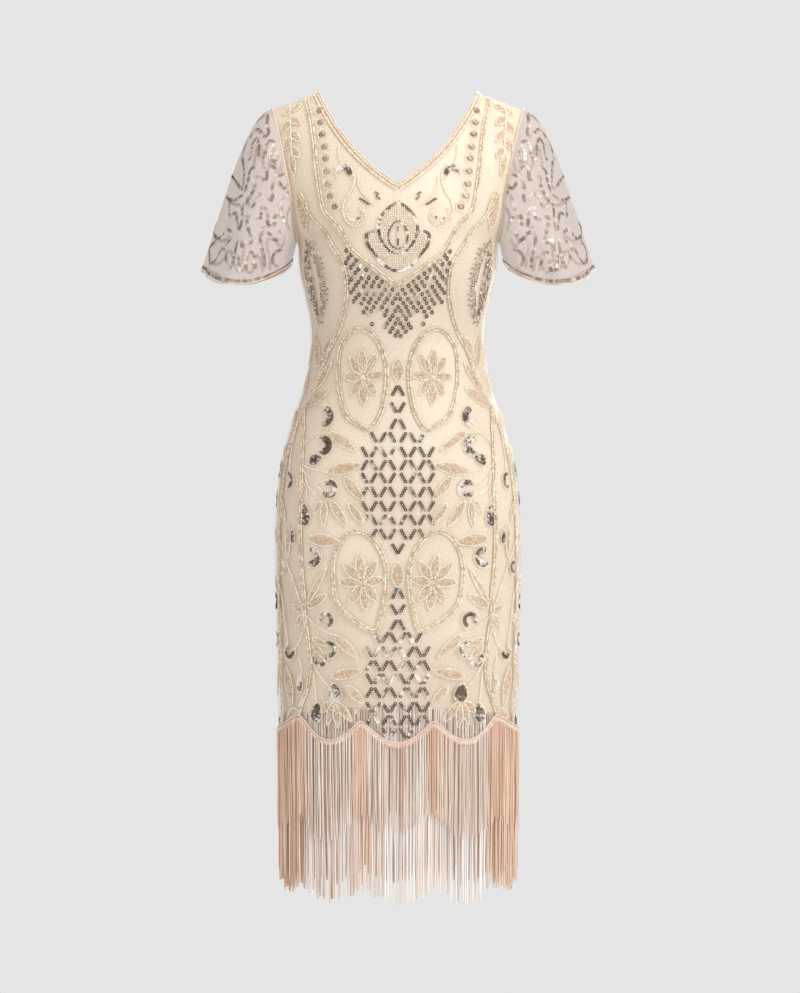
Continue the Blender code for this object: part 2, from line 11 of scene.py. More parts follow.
import bpy
import numpy as np
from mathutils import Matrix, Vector

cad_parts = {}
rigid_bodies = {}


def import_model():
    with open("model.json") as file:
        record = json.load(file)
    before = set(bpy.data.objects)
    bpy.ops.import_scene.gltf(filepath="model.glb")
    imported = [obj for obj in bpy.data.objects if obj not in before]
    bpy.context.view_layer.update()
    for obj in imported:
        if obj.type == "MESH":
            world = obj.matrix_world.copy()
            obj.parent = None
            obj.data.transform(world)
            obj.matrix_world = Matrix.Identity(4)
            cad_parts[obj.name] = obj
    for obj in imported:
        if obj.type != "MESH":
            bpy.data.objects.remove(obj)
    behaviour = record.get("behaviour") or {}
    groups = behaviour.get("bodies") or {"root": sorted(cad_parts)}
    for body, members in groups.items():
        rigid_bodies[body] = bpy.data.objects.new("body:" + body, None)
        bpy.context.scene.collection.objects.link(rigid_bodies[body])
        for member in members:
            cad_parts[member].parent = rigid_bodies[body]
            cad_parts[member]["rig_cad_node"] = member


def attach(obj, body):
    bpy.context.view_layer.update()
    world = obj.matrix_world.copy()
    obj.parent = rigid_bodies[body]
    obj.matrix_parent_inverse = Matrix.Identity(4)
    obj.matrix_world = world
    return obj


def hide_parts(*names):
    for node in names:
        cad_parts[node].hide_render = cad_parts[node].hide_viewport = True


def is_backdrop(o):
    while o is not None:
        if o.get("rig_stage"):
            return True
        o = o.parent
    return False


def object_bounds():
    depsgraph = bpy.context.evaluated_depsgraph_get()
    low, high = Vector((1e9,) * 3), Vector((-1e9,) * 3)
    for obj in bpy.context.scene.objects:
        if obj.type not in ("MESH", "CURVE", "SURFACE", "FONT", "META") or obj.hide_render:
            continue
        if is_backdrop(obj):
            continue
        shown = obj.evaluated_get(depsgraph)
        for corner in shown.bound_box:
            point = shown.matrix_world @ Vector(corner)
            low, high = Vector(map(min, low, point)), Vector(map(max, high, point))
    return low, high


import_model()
packed_low, packed_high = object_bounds()
chance = np.random.default_rng(7)
print("packed dress, in millimetres:", [round(1000 * v) for v in packed_high - packed_low])

# %% [markdown]
# ## The form of the body
# A dress on a stand takes the wearer's form. The form is written as a short table of level sections, each
# with its half width, its depth in front and behind, and how square it is. A superellipse through those
# numbers gives a smooth ring at any height, which is easier to steer than a sculpted mesh and leaves no
# bumps between the rows.

# %% The table of the body's sections
BODY = np.array(
    [
        # height, half width, depth in front, depth behind, squareness
        (-0.990, 0.1740, 0.118, 0.118, 2.30),
        (-0.900, 0.1757, 0.118, 0.118, 2.30),
        (-0.800, 0.1785, 0.117, 0.120, 2.30),
        (-0.720, 0.1808, 0.116, 0.124, 2.35),
        (-0.640, 0.1812, 0.114, 0.129, 2.35),
        (-0.580, 0.1775, 0.112, 0.129, 2.30),
        (-0.530, 0.1690, 0.109, 0.122, 2.30),
        (-0.490, 0.1575, 0.106, 0.112, 2.25),
        (-0.450, 0.1440, 0.103, 0.100, 2.20),
        (-0.410, 0.1335, 0.100, 0.090, 2.20),
        (-0.372, 0.1290, 0.100, 0.086, 2.20),
        (-0.335, 0.1310, 0.112, 0.090, 2.20),
        (-0.300, 0.1385, 0.129, 0.096, 2.25),
        (-0.265, 0.1460, 0.139, 0.101, 2.30),
        (-0.222, 0.1500, 0.138, 0.105, 2.30),
        (-0.205, 0.1610, 0.136, 0.106, 2.30),
        (-0.170, 0.1790, 0.130, 0.107, 2.30),
        (-0.120, 0.1960, 0.124, 0.106, 2.30),
        (-0.060, 0.2080, 0.120, 0.102, 2.30),
        (0.060, 0.2150, 0.118, 0.098, 2.30),
    ]
)
ARMHOLE = np.array(
    [
        # height, distance from the middle
        (-0.222, 0.1500),
        (-0.207, 0.1515),
        (-0.145, 0.1580),
        (-0.115, 0.1638),
        (-0.071, 0.1727),
        (-0.024, 0.1850),
    ]
)
HALF_WIDTH, SQUARENESS = 1, 4
DEPTH = {"front": 2, "back": 3}
SHOULDER_NECK_X = 0.117
SHOULDER_SLOPE = 0.024 / 0.068
RIDGE_Y = 0.008
ARMPIT_HEIGHT = -0.222
FACES = ("front", "back")
OUTWARD = {"front": -1.0, "back": 1.0}


def read_table(rows, height, column):
    """A column of the table at heights between its rows, on a smooth curve through them."""
    at, values = rows[:, 0], rows[:, column]
    slope = np.gradient(values)
    slope[1:-1] = (values[2:] - values[:-2]) / (at[2:] - at[:-2])
    slope[0] = (values[1] - values[0]) / (at[1] - at[0])
    slope[-1] = (values[-1] - values[-2]) / (at[-1] - at[-2])
    height = np.clip(height, at[0], at[-1])
    low = np.clip(np.searchsorted(at, height) - 1, 0, len(at) - 2)
    span = at[low + 1] - at[low]
    t = (height - at[low]) / span
    rise = (2 * t**3 - 3 * t**2 + 1) * values[low] + (3 * t**2 - 2 * t**3) * values[low + 1]
    bend = (t**3 - 2 * t**2 + t) * slope[low] + (t**3 - t**2) * slope[low + 1]
    return rise + bend * span


def ridge_height(x):
    return (SHOULDER_NECK_X - np.abs(x)) * SHOULDER_SLOPE


def armhole_x(height):
    return read_table(ARMHOLE, height, 1)


def chest_y(face, x, height):
    """Depth of the cloth over the chest or the shoulder blades, closing over the shoulder's ridge."""
    x = np.abs(x)
    half_width = read_table(BODY, height, HALF_WIDTH)
    squareness = read_table(BODY, height, SQUARENESS)
    depth = read_table(BODY, height, DEPTH[face])
    depth = depth * np.maximum(0, 1 - (x / half_width) ** squareness) ** (1 / squareness)
    rise = np.clip((height - ARMPIT_HEIGHT) / (ridge_height(x) - ARMPIT_HEIGHT), 0, 1)
    power = 2.0 if face == "front" else 2.5
    depth = depth * np.sqrt(np.maximum(0, 1 - rise**power))
    return RIDGE_Y * rise + OUTWARD[face] * depth


for name, height in (("bust", -0.265), ("waist", -0.372), ("hip", -0.640)):
    depth = sum(float(read_table(BODY, height, column)) for column in DEPTH.values())
    print(name, "depth:", round(depth, 3))

# %% [markdown]
# ## Folds and hems
# Cloth over a lining hangs in soft upright folds that grow towards the hem. Each is a low wave in a table,
# with its place counted in quarter turns from the centre front. The net ends in eight scallops, two to a
# quarter. The edge is a cosine, sharpened where two scallops meet.

# %% Folds of the skirt and the two hems
SKIRT_FOLDS = [
    # place in quarters, depth, half width, height where it starts
    (-0.86, 0.0030, 0.10, -0.56),
    (-0.56, -0.0026, 0.10, -0.62),
    (-0.27, 0.0024, 0.10, -0.66),
    (0.04, -0.0018, 0.12, -0.72),
    (0.31, 0.0026, 0.10, -0.64),
    (0.60, -0.0022, 0.09, -0.70),
    (0.88, 0.0028, 0.10, -0.58),
    (1.22, -0.0028, 0.11, -0.62),
    (1.52, 0.0030, 0.10, -0.66),
    (1.83, -0.0026, 0.10, -0.60),
    (2.12, 0.0028, 0.11, -0.64),
    (2.44, -0.0030, 0.10, -0.62),
    (2.76, 0.0026, 0.10, -0.66),
]
SCALLOP_TOP, SCALLOP_DEPTH, SCALLOP_ROUNDING = -0.930, 0.027, 0.007
SCALLOP_POINTS = ((0.0, 0.22, 0.64, 1.0), (0.0, 0.25, 0.75, 1.0))
SIDE_RISE = 0.012
FAN_HEIGHT = -0.870
LINING_HEM, LINING_SIDE_DROP = -0.897, 0.018


def fold_height(quarters, height):
    total = np.zeros(np.broadcast(quarters, height).shape)
    for place, depth, half_width, top in SKIRT_FOLDS:
        away = (quarters - place + 2) % 4 - 2
        grown = np.clip((top - height) / (top - SCALLOP_TOP), 0, 1)
        total = total + depth * np.exp(-((away / half_width) ** 2)) * grown**1.3
    return total


def scallop_turn(share):
    """Counts scallops along a quarter: two of them meet where this is a quarter or three quarters."""
    return np.interp(share, *SCALLOP_POINTS)


def scallop_height(share):
    share = scallop_turn(share)
    wave = np.cos(2 * math.pi * share) ** 2
    start = math.sqrt(SCALLOP_ROUNDING)
    rounded = (np.sqrt(wave + SCALLOP_ROUNDING) - start) / (math.sqrt(1 + SCALLOP_ROUNDING) - start)
    return SCALLOP_TOP + SIDE_RISE * share**2 - SCALLOP_DEPTH * rounded


def lining_height(share):
    return LINING_HEM - LINING_SIDE_DROP * np.sin(share * math.pi / 2) ** 2


print("scallops reach from", scallop_height(0.25), "down to", round(float(scallop_height(0.0)), 4))

# %% [markdown]
# ## A map of the cloth
# Sewing patterns are drawn flat, in millimetres across from the centre line and down from the shoulders.
# The same two numbers place everything here. For each face a grid of sections is made once, measured along
# the cloth, and a place is read between its rows and columns. A shrinkwrap modifier could press flat beads
# on to the dress, but it would not keep their spacing along the curve.

# %% Sections of both faces, measured along the cloth
ROW_STEP = 0.002
SECTION_HEIGHTS = np.arange(-0.992, 0.0005, ROW_STEP)
SECTION_COLUMNS = 220
LINING_DRAWN_IN, DRAWN_FROM, DRAWN_OVER = 0.003, -0.56, 0.37
TINY = 1e-12


def section(face, height):
    turn = np.linspace(0, math.pi / 2, 320)
    if height <= ARMPIT_HEIGHT:
        squareness = read_table(BODY, height, SQUARENESS)
        depth = read_table(BODY, height, DEPTH[face])
        x = read_table(BODY, height, HALF_WIDTH) * np.sin(turn) ** (2 / squareness)
        y = OUTWARD[face] * depth * np.cos(turn) ** (2 / squareness)
    else:
        x = armhole_x(height) * np.sin(turn)
        y = chest_y(face, x, np.full_like(x, height))
    length = np.concatenate([[0], np.cumsum(np.hypot(np.diff(x), np.diff(y)))])
    even = np.linspace(0, length[-1], SECTION_COLUMNS + 1)
    return np.interp(even, length, x), np.interp(even, length, y), length[-1]


SECTIONS, GIRTH = {}, {}
for face in FACES:
    made = [section(face, height) for height in SECTION_HEIGHTS]
    SECTIONS[face] = np.array([[x, y] for x, y, _ in made])
    GIRTH[face] = np.array([girth for _, _, girth in made])
print("quarter girth at the hem:", round(1000 * GIRTH["front"][30]), "mm")

# %% Read a place on the cloth


def between(grid, row, column):
    r, c = row.astype(int), column.astype(int)
    u, v = row - r, column - c
    low = grid[r, c] * (1 - v) + grid[r, c + 1] * v
    high = grid[r + 1, c] * (1 - v) + grid[r + 1, c + 1] * v
    return low * (1 - u) + high * u


def half_girth(face, height):
    row = np.clip((height - SECTION_HEIGHTS[0]) / ROW_STEP, 0, len(SECTION_HEIGHTS) - 1.001)
    low = row.astype(int)
    return GIRTH[face][low] + (row - low) * (GIRTH[face][low + 1] - GIRTH[face][low])


def cloth_place(face, across, down, cloth="net"):
    """Points on the cloth's outer side. Across and down are in millimetres, as on a flat pattern."""
    across, down = np.broadcast_arrays(np.asarray(across, float), np.asarray(down, float))
    height = -down / 1000
    row = np.clip((height - SECTION_HEIGHTS[0]) / ROW_STEP, 0, len(SECTION_HEIGHTS) - 1.001)
    share = np.clip(np.abs(across) / 1000 / half_girth(face, height), 0, 1)
    column = np.clip(share * SECTION_COLUMNS, 0, SECTION_COLUMNS - 0.001)
    x = between(SECTIONS[face][:, 0], row, column)
    y = between(SECTIONS[face][:, 1], row, column)
    ahead = np.clip(column + 1, 0, SECTION_COLUMNS - 0.001)
    behind = np.clip(column - 1, 0, SECTION_COLUMNS - 0.001)
    run_x = between(SECTIONS[face][:, 0], row, ahead) - between(SECTIONS[face][:, 0], row, behind)
    run_y = between(SECTIONS[face][:, 1], row, ahead) - between(SECTIONS[face][:, 1], row, behind)
    size = np.hypot(run_x, run_y) + TINY
    out_x, out_y = -OUTWARD[face] * run_y / size, OUTWARD[face] * run_x / size
    side = np.where(across < 0, -1.0, 1.0)
    if cloth == "net":
        quarters = side * (share if face == "front" else 2 - share)
        stands = fold_height(quarters, height)
    else:
        stands = -LINING_DRAWN_IN * np.clip((DRAWN_FROM - height) / DRAWN_OVER, 0, 1)
    return np.stack([side * (x + out_x * stands), y + out_y * stands, height], axis=-1)


def unit(v):
    return v / (np.linalg.norm(v, axis=-1, keepdims=True) + TINY)


def run_length(points):
    """How far along a line each of its points lies."""
    return np.concatenate([[0], np.cumsum(np.linalg.norm(np.diff(points, axis=0), axis=1))])


def part_way(values, reached, steps):
    """Three columns of numbers, read at steps between the places where they are known."""
    return np.stack([np.interp(steps, reached, values[:, i]) for i in range(3)], axis=1)


def cloth_frame(face, across, down):
    """A place on the cloth with its directions across, down and outward."""
    step = 0.6
    place = cloth_place(face, across, down)
    over = cloth_place(face, across + step, down) - cloth_place(face, across - step, down)
    fall = cloth_place(face, across, down + step) - cloth_place(face, across, down - step)
    out = unit(np.cross(over, fall)) * OUTWARD[face]
    return place, unit(over), unit(fall), out


SIDE_MARGIN, RIDGE_MARGIN = 0.001, 0.002


def inside_cloth(face, across, down):
    """True where a place lies on the panel and not past its side, armhole or neck edge."""
    height = -down / 1000
    x = np.abs(cloth_place(face, across, down)[..., 0])
    on_panel = np.abs(across) / 1000 < half_girth(face, height) - SIDE_MARGIN
    return on_panel & (height < ridge_height(x) - RIDGE_MARGIN)


print("chest point:", cloth_place("front", 0.0, 265.0).round(4))

# %% [markdown]
# ## Turning arrays into meshes
# Every piece below ends as arrays of points and faces. Blender can read them in one call each, which is
# many times faster than adding vertices one by one.

# %% Helpers that make pieces


def add_piece(name, points, faces, finish, slot):
    mesh = bpy.data.meshes.new(name)
    mesh.vertices.add(len(points))
    mesh.vertices.foreach_set("co", np.ascontiguousarray(points, np.float32).ravel())
    mesh.loops.add(faces.size)
    mesh.loops.foreach_set("vertex_index", np.ascontiguousarray(faces, np.int32).ravel())
    mesh.polygons.add(len(faces))
    starts = np.arange(0, faces.size, faces.shape[1], dtype=np.int32)
    mesh.polygons.foreach_set("loop_start", starts)
    mesh.update(calc_edges=True)
    mesh.validate()
    mesh.shade_smooth()
    mesh.materials.append(finish)
    piece = bpy.data.objects.new(name, mesh)
    bpy.context.scene.collection.objects.link(piece)
    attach(piece, "root")
    return piece


def grid_faces(rows, columns, start=0, closed=False):
    """Quads of a grid of points, row after row. A closed grid joins its last column to the first."""
    index = start + np.arange(rows * columns).reshape(rows, columns)
    if closed:
        index = np.concatenate([index, index[:, :1]], axis=1)
    quads = [index[:-1, :-1], index[:-1, 1:], index[1:, 1:], index[1:, :-1]]
    return np.stack(quads, axis=-1).reshape(-1, 4)


def surface_area(piece):
    return sum(p.area for p in piece.data.polygons)


# %% [markdown]
# ## Shared effects
# Effects that several materials use are node groups. Net is a web of threads with holes between them: the
# distance to the edge of a Voronoi cell is small on the web and large in the holes. Cloth and yarn are never
# one even colour, so a second group mixes two tones by a soft noise and by a number that differs from bead
# to bead. A third gives the fine crossing threads of a woven cloth as a height for bump.

# %% Node groups


def new_group(name, inputs, outputs):
    group = bpy.data.node_groups.new(name, "ShaderNodeTree")
    for label, kind, value in inputs:
        made = group.interface.new_socket(label, in_out="INPUT", socket_type=kind)
        made.default_value = value
    for label, kind in outputs:
        group.interface.new_socket(label, in_out="OUTPUT", socket_type=kind)
    return group, group.nodes.new("NodeGroupInput"), group.nodes.new("NodeGroupOutput")


def add_node(tree, kind, values=None, **settings):
    made = tree.nodes.new(kind)
    for key, value in settings.items():
        setattr(made, key, value)
    for key, value in (values or {}).items():
        made.inputs[key].default_value = value
    return made


def wire(tree, start, output, end, entry):
    tree.links.new(start.outputs[output], end.inputs[entry])


def build_net_group():
    group, given, out = new_group(
        "net_web",
        [("Holes per metre", "NodeSocketFloat", 700.0), ("Thread share", "NodeSocketFloat", 0.16)],
        [("Thread", "NodeSocketFloat")],
    )
    place = add_node(group, "ShaderNodeTexCoord")
    cells = add_node(group, "ShaderNodeTexVoronoi", feature="DISTANCE_TO_EDGE")
    wire(group, place, "Object", cells, "Vector")
    wire(group, given, "Holes per metre", cells, "Scale")
    soft = add_node(group, "ShaderNodeMapRange", {"From Min": 0.0, "To Min": 1.0, "To Max": 0.0})
    wire(group, cells, "Distance", soft, "Value")
    wire(group, given, "Thread share", soft, "From Max")
    wire(group, soft, "Result", out, "Thread")
    return group


def build_tone_group():
    group, given, out = new_group(
        "tone_variation",
        [
            ("Light tone", "NodeSocketColor", (1, 1, 1, 1)),
            ("Deep tone", "NodeSocketColor", (0.5, 0.5, 0.5, 1)),
            ("Patch scale", "NodeSocketFloat", 12.0),
            ("Piece share", "NodeSocketFloat", 0.5),
            ("Light share", "NodeSocketFloat", 0.5),
            ("Softness", "NodeSocketFloat", 0.5),
        ],
        [("Colour", "NodeSocketColor"), ("Mask", "NodeSocketFloat")],
    )
    place = add_node(group, "ShaderNodeTexCoord")
    noise = add_node(group, "ShaderNodeTexNoise", {"Detail": 3.0, "Roughness": 0.55})
    wire(group, place, "Object", noise, "Vector")
    wire(group, given, "Patch scale", noise, "Scale")
    wide = add_node(group, "ShaderNodeMapRange", {"From Min": 0.3, "From Max": 0.7})
    wire(group, noise, "Fac", wide, "Value")
    island = add_node(group, "ShaderNodeNewGeometry")
    both = add_node(group, "ShaderNodeMix", data_type="FLOAT")
    wire(group, given, "Piece share", both, "Factor")
    wire(group, wide, "Result", both, "A")
    wire(group, island, "Random Per Island", both, "B")
    step = add_node(group, "ShaderNodeMapRange")
    wire(group, both, "Result", step, "Value")
    for operation, limit in (("SUBTRACT", "From Min"), ("ADD", "From Max")):
        edge = add_node(group, "ShaderNodeMath", operation=operation)
        wire(group, given, "Light share", edge, 0)
        wire(group, given, "Softness", edge, 1)
        wire(group, edge, 0, step, limit)
    tones = add_node(group, "ShaderNodeMix", data_type="RGBA")
    wire(group, step, "Result", tones, "Factor")
    wire(group, given, "Light tone", tones, "A")
    wire(group, given, "Deep tone", tones, "B")
    wire(group, tones, "Result", out, "Colour")
    wire(group, both, "Result", out, "Mask")
    return group


def build_weave_group():
    group, given, out = new_group(
        "fine_weave",
        [("Threads per metre", "NodeSocketFloat", 900.0)],
        [("Height", "NodeSocketFloat")],
    )
    place = add_node(group, "ShaderNodeTexCoord")
    waves = []
    for direction in ("X", "Z"):
        wave = add_node(group, "ShaderNodeTexWave", {"Distortion": 0.6, "Detail": 1.0})
        wave.bands_direction = direction
        wire(group, place, "Object", wave, "Vector")
        wire(group, given, "Threads per metre", wave, "Scale")
        waves.append(wave)
    both = add_node(group, "ShaderNodeMath", operation="MULTIPLY")
    group.links.new(waves[0].outputs["Fac"], both.inputs[0])
    group.links.new(waves[1].outputs["Fac"], both.inputs[1])
    wire(group, both, 0, out, "Height")
    return group


NET_WEB, TONES, WEAVE = build_net_group(), build_tone_group(), build_weave_group()
print("node groups:", [g.name for g in (NET_WEB, TONES, WEAVE)])

# %% [markdown]
# ## Finishes
# Satin, net, glass beads, foil sequins and rayon yarn differ mostly in how sharp their gloss is. Each
# material keeps its own Principled shader with its gloss set there, and the groups only feed colours,
# alpha and bump. The light tone and the deep tone are the two ends of what one batch of beads or yarn shows.
# On the sequins and bugles the light tone is a painted glint, and the deeper peach yarn and the braid's
# ground are painted shade.

# %% Make the finishes


def new_finish(
    name, light, deep, roughness, patch=12.0, piece_share=0.5, bump=0.0, split=(0.5, 0.5), **gloss
):
    """A material of two tones. Split is the light tone's share and how softly it meets the deep one."""
    finish = bpy.data.materials.new(name)
    finish.use_nodes = True
    tree = finish.node_tree
    shader = tree.nodes["Principled BSDF"]
    shader.inputs["Roughness"].default_value = roughness
    for key, value in gloss.items():
        shader.inputs[key.replace("_", " ")].default_value = value
    tone = add_node(tree, "ShaderNodeGroup", node_tree=TONES)
    tone.inputs["Light tone"].default_value = (*light, 1)
    tone.inputs["Deep tone"].default_value = (*deep, 1)
    tone.inputs["Patch scale"].default_value = patch
    tone.inputs["Piece share"].default_value = piece_share
    tone.inputs["Light share"].default_value, tone.inputs["Softness"].default_value = split
    wire(tree, tone, "Colour", shader, "Base Color")
    if bump:
        weave = add_node(tree, "ShaderNodeGroup", node_tree=WEAVE)
        raised = add_node(tree, "ShaderNodeBump", {"Strength": bump, "Distance": 0.0003})
        wire(tree, weave, "Height", raised, "Height")
        wire(tree, raised, "Normal", shader, "Normal")
    return finish


def let_light_through(finish, holes, thread_share, in_hole, on_thread):
    """Makes a finish a net: alpha is low in the holes and high on the threads."""
    tree = finish.node_tree
    shader = tree.nodes["Principled BSDF"]
    web = add_node(tree, "ShaderNodeGroup", node_tree=NET_WEB)
    web.inputs["Holes per metre"].default_value = holes
    web.inputs["Thread share"].default_value = thread_share
    cover = add_node(tree, "ShaderNodeMapRange", {"To Min": in_hole, "To Max": on_thread})
    wire(tree, web, "Thread", cover, "Value")
    wire(tree, cover, "Result", shader, "Alpha")
    return finish


CREAM, SHADED_CREAM = (0.86, 0.752, 0.615), (0.78, 0.662, 0.52)
net_finish = new_finish("cream_net", CREAM, SHADED_CREAM, 0.6, 9, 0.0)
let_light_through(net_finish, 700, 0.16, 0.05, 0.36)
lining_finish = new_finish("cream_satin", (0.88, 0.778, 0.645), SHADED_CREAM, 0.40, 7, 0.0, 0.2)
tulle_finish = new_finish("nude_tulle", (0.72, 0.60, 0.54), (0.62, 0.50, 0.44), 0.6, 14, 0.0, 0.2)
let_light_through(tulle_finish, 620, 0.16, 0.26, 0.72)
ROPE_LIGHT, ROPE_DEEP = (1.0, 0.90, 0.72), (0.56, 0.38, 0.22)
rope_finish = new_finish("cream_seed_beads", ROPE_LIGHT, ROPE_DEEP, 0.22, 30, 0.9, Coat_Weight=0.5)
EDGE_LIGHT, EDGE_DEEP = (1.0, 0.93, 0.79), (0.80, 0.63, 0.45)
edge_finish = new_finish("pearl_edge_beads", EDGE_LIGHT, EDGE_DEEP, 0.2, 30, 0.9, Coat_Weight=0.5)
LEAF_LIGHT, LEAF_DEEP = (0.97, 0.79, 0.59), (0.56, 0.36, 0.22)
leaf_finish = new_finish("peach_leaf_beads", LEAF_LIGHT, LEAF_DEEP, 0.25, 30, 0.9, Coat_Weight=0.4)
# The flash tone is a painted glint: a share of the sequins, foil sequins and bugles take this near-white
# colour in place of the light they would reflect.
SEQUIN_PAINTED_GLINT, SEQUIN_BRONZE = (1.0, 0.94, 0.86), (0.105, 0.062, 0.036)
sequin_finish = new_finish(
    "bronze_sequins", SEQUIN_PAINTED_GLINT, SEQUIN_BRONZE, 0.26, 34, 0.5, split=(0.2, 0.14), Metallic=0.55
)
foil_finish = new_finish(
    "foil_sequins", SEQUIN_PAINTED_GLINT, SEQUIN_BRONZE, 0.24, 44, 0.34, split=(0.44, 0.12), Metallic=0.3
)
# The light tone of the sleeve sequins is a painted glint as well.
sleeve_sequin_finish = new_finish(
    "rosy_sequins", (0.97, 0.86, 0.76), (0.27, 0.19, 0.135), 0.24, 50, 0.6, split=(0.38, 0.3), Metallic=0.3
)
bugle_finish = new_finish(
    "bronze_bugles", SEQUIN_PAINTED_GLINT, (0.22, 0.135, 0.075), 0.25, 40, 0.8, split=(0.34, 0.25), Metallic=0.45
)
stone_finish = new_finish("smoky_stones", (0.62, 0.52, 0.40), (0.26, 0.19, 0.13), 0.15, 60, 0.6, Metallic=0.3)
piping_finish = new_finish("peach_piping", (0.90, 0.73, 0.57), (0.76, 0.56, 0.41), 0.4, 25, 0.2, 0.3)
# The braid's ground is a darker peach than the ribs sewn over it: painted shade for the gaps between the
# ribs.
shaded_braid_finish = new_finish("braid_ground_painted_shade", (0.74, 0.50, 0.35), (0.58, 0.36, 0.24), 0.5, 25, 0.2, 0.3)
outer_yarn = new_finish("pale_peach_yarn", (1.0, 0.93, 0.87), (0.80, 0.56, 0.43), 0.32, 16, 0.8, 0.3)
# The deeper peach yarn is painted shade: strands that crowd at the sides and where two scallops meet take it
# in place of the shade they cast on each other.
shaded_peach_yarn = new_finish("peach_yarn_painted_shade", (0.97, 0.78, 0.63), (0.74, 0.47, 0.33), 0.32, 16, 0.8, 0.3)
inner_yarn = new_finish("pale_yarn", (1.0, 0.94, 0.90), (0.62, 0.40, 0.27), 0.28, 16, 0.8, 0.3, (0.62, 0.4))
print("finishes:", len(bpy.data.materials))

# %% [markdown]
# ## The four body panels
# Net and lining are each a front and a back panel. Their rows are level below the armpits, fan out to the
# scallops at the hem, and climb along the neckline and the armhole above. A grid with those rows keeps every
# edge clean, where cutting a plain tube with booleans would leave slivers.

# %% Neckline and the rows above the armpits
NECK_DROP = {"front": 0.1495, "back": 0.163}
NECK_BOW = {"front": (0.080, -0.098), "back": (0.091, -0.112)}
FAN_ROWS, LEVEL_ROWS, BELOW_NECK_ROWS, BESIDE_NECK_ROWS = 12, 90, 14, 46


def neckline(face, along):
    """Points of the V seen from the front, from its lowest point at 0 to the shoulder at 1."""
    bow = NECK_BOW[face]
    x = 2 * along * (1 - along) * bow[0] + along**2 * SHOULDER_NECK_X
    z = -((1 - along) ** 2) * NECK_DROP[face] + 2 * along * (1 - along) * bow[1]
    return x, z


NECK_STEPS = {face: neckline(face, np.linspace(0, 1, 4000)) for face in FACES}


def neckline_x(face, height):
    x, z = NECK_STEPS[face]
    return np.where(height <= z[0], 0.0, np.interp(height, z, x))


def upper_row(face, sweep, columns):
    """Half a row of cloth between the neckline and the armhole. Sweep is 0 at the armpits, 1 on top."""
    rise = math.sin(sweep * math.pi / 2)
    inner, outer = 0.0, 0.15
    for _ in range(14):
        inner = float(neckline_x(face, ARMPIT_HEIGHT + rise * (ridge_height(inner) - ARMPIT_HEIGHT)))
        outer = float(armhole_x(ARMPIT_HEIGHT + rise * (ridge_height(outer) - ARMPIT_HEIGHT)))
    x = inner + (outer - inner) * np.sin(np.linspace(0, math.pi / 2, 200))
    z = ARMPIT_HEIGHT + rise * (ridge_height(x) - ARMPIT_HEIGHT)
    points = np.stack([x, chest_y(face, x, z), z], axis=1)
    length = run_length(points)
    return part_way(points, length, np.linspace(0, length[-1], columns + 1))


def neck_sweep(face):
    rise = (-NECK_DROP[face] - ARMPIT_HEIGHT) / (ridge_height(0.0) - ARMPIT_HEIGHT)
    return math.asin(rise) / (math.pi / 2)


# %% Build the panels


def half_panel(face, side, cloth, columns):
    share = np.linspace(0, 1, columns + 1)
    edge = scallop_height(share) if cloth == "net" else lining_height(share)
    rows = [edge + (FAN_HEIGHT - edge) * part for part in np.linspace(0, 1, FAN_ROWS)]
    rows += [np.full_like(share, h) for h in np.linspace(FAN_HEIGHT, ARMPIT_HEIGHT, LEVEL_ROWS)[1:-1]]
    lower = [side * share * 1000 * half_girth(face, row) for row in rows]
    points = [cloth_place(face, a, -1000 * row, cloth) for a, row in zip(lower, rows)]
    split = neck_sweep(face)
    sweeps = [*np.linspace(0, split, BELOW_NECK_ROWS), *np.linspace(split, 1, BESIDE_NECK_ROWS)[1:]]
    upper = [upper_row(face, sweep, columns) * (side, 1, 1) for sweep in sweeps]
    return np.array(points + upper)


def panel_normals(grid):
    over = np.gradient(grid, axis=1)
    rise = np.gradient(grid, axis=0)
    return unit(np.cross(over, rise))


def build_panel(face, cloth, finish, columns, inward):
    halves, faces, start = [], [], 0
    for side in (-1, 1):
        grid = half_panel(face, side, cloth, columns)
        out = panel_normals(grid)
        away = grid * (1, 1, 0)
        out = out * np.sign(np.sum(out * away, axis=-1, keepdims=True) + 1e-9)
        moved = grid - out * inward
        if inward:
            moved[:, 0, 0] = np.where(grid[:, 0, 0] == 0, 0, moved[:, 0, 0])
        halves.append(moved.reshape(-1, 3))
        quads = grid_faces(*grid.shape[:2], start)
        faces.append(quads if side * OUTWARD[face] < 0 else quads[:, ::-1])
        start += grid.shape[0] * grid.shape[1]
    name = f"{face}_net" if cloth == "net" else f"{face}_lining_cloth"
    return add_piece(name, np.concatenate(halves), np.concatenate(faces), finish, cloth)


NET_COLUMNS, LINING_COLUMNS, LINING_BEHIND = 60, 40, 0.0022
for face in FACES:
    net = build_panel(face, "net", net_finish, NET_COLUMNS, 0.0)
    lining = build_panel(face, "lining", lining_finish, LINING_COLUMNS, LINING_BEHIND)
    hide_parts(f"{face}_overlay")
    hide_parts(f"{face}_lining")
    print(face, "net and lining, square metres:", round(surface_area(net), 3), round(surface_area(lining), 3))

# %% [markdown]
# ## Sleeves
# Each sleeve is one piece of net that runs from the armhole to a wide, fluted hem. It is a loft: for every
# angle round the arm a line falls from the armhole's edge to the hem ring, pushed out a little on the way.
# The flutes grow towards the hem, as they do in cloth that is cut wider there than at the top.

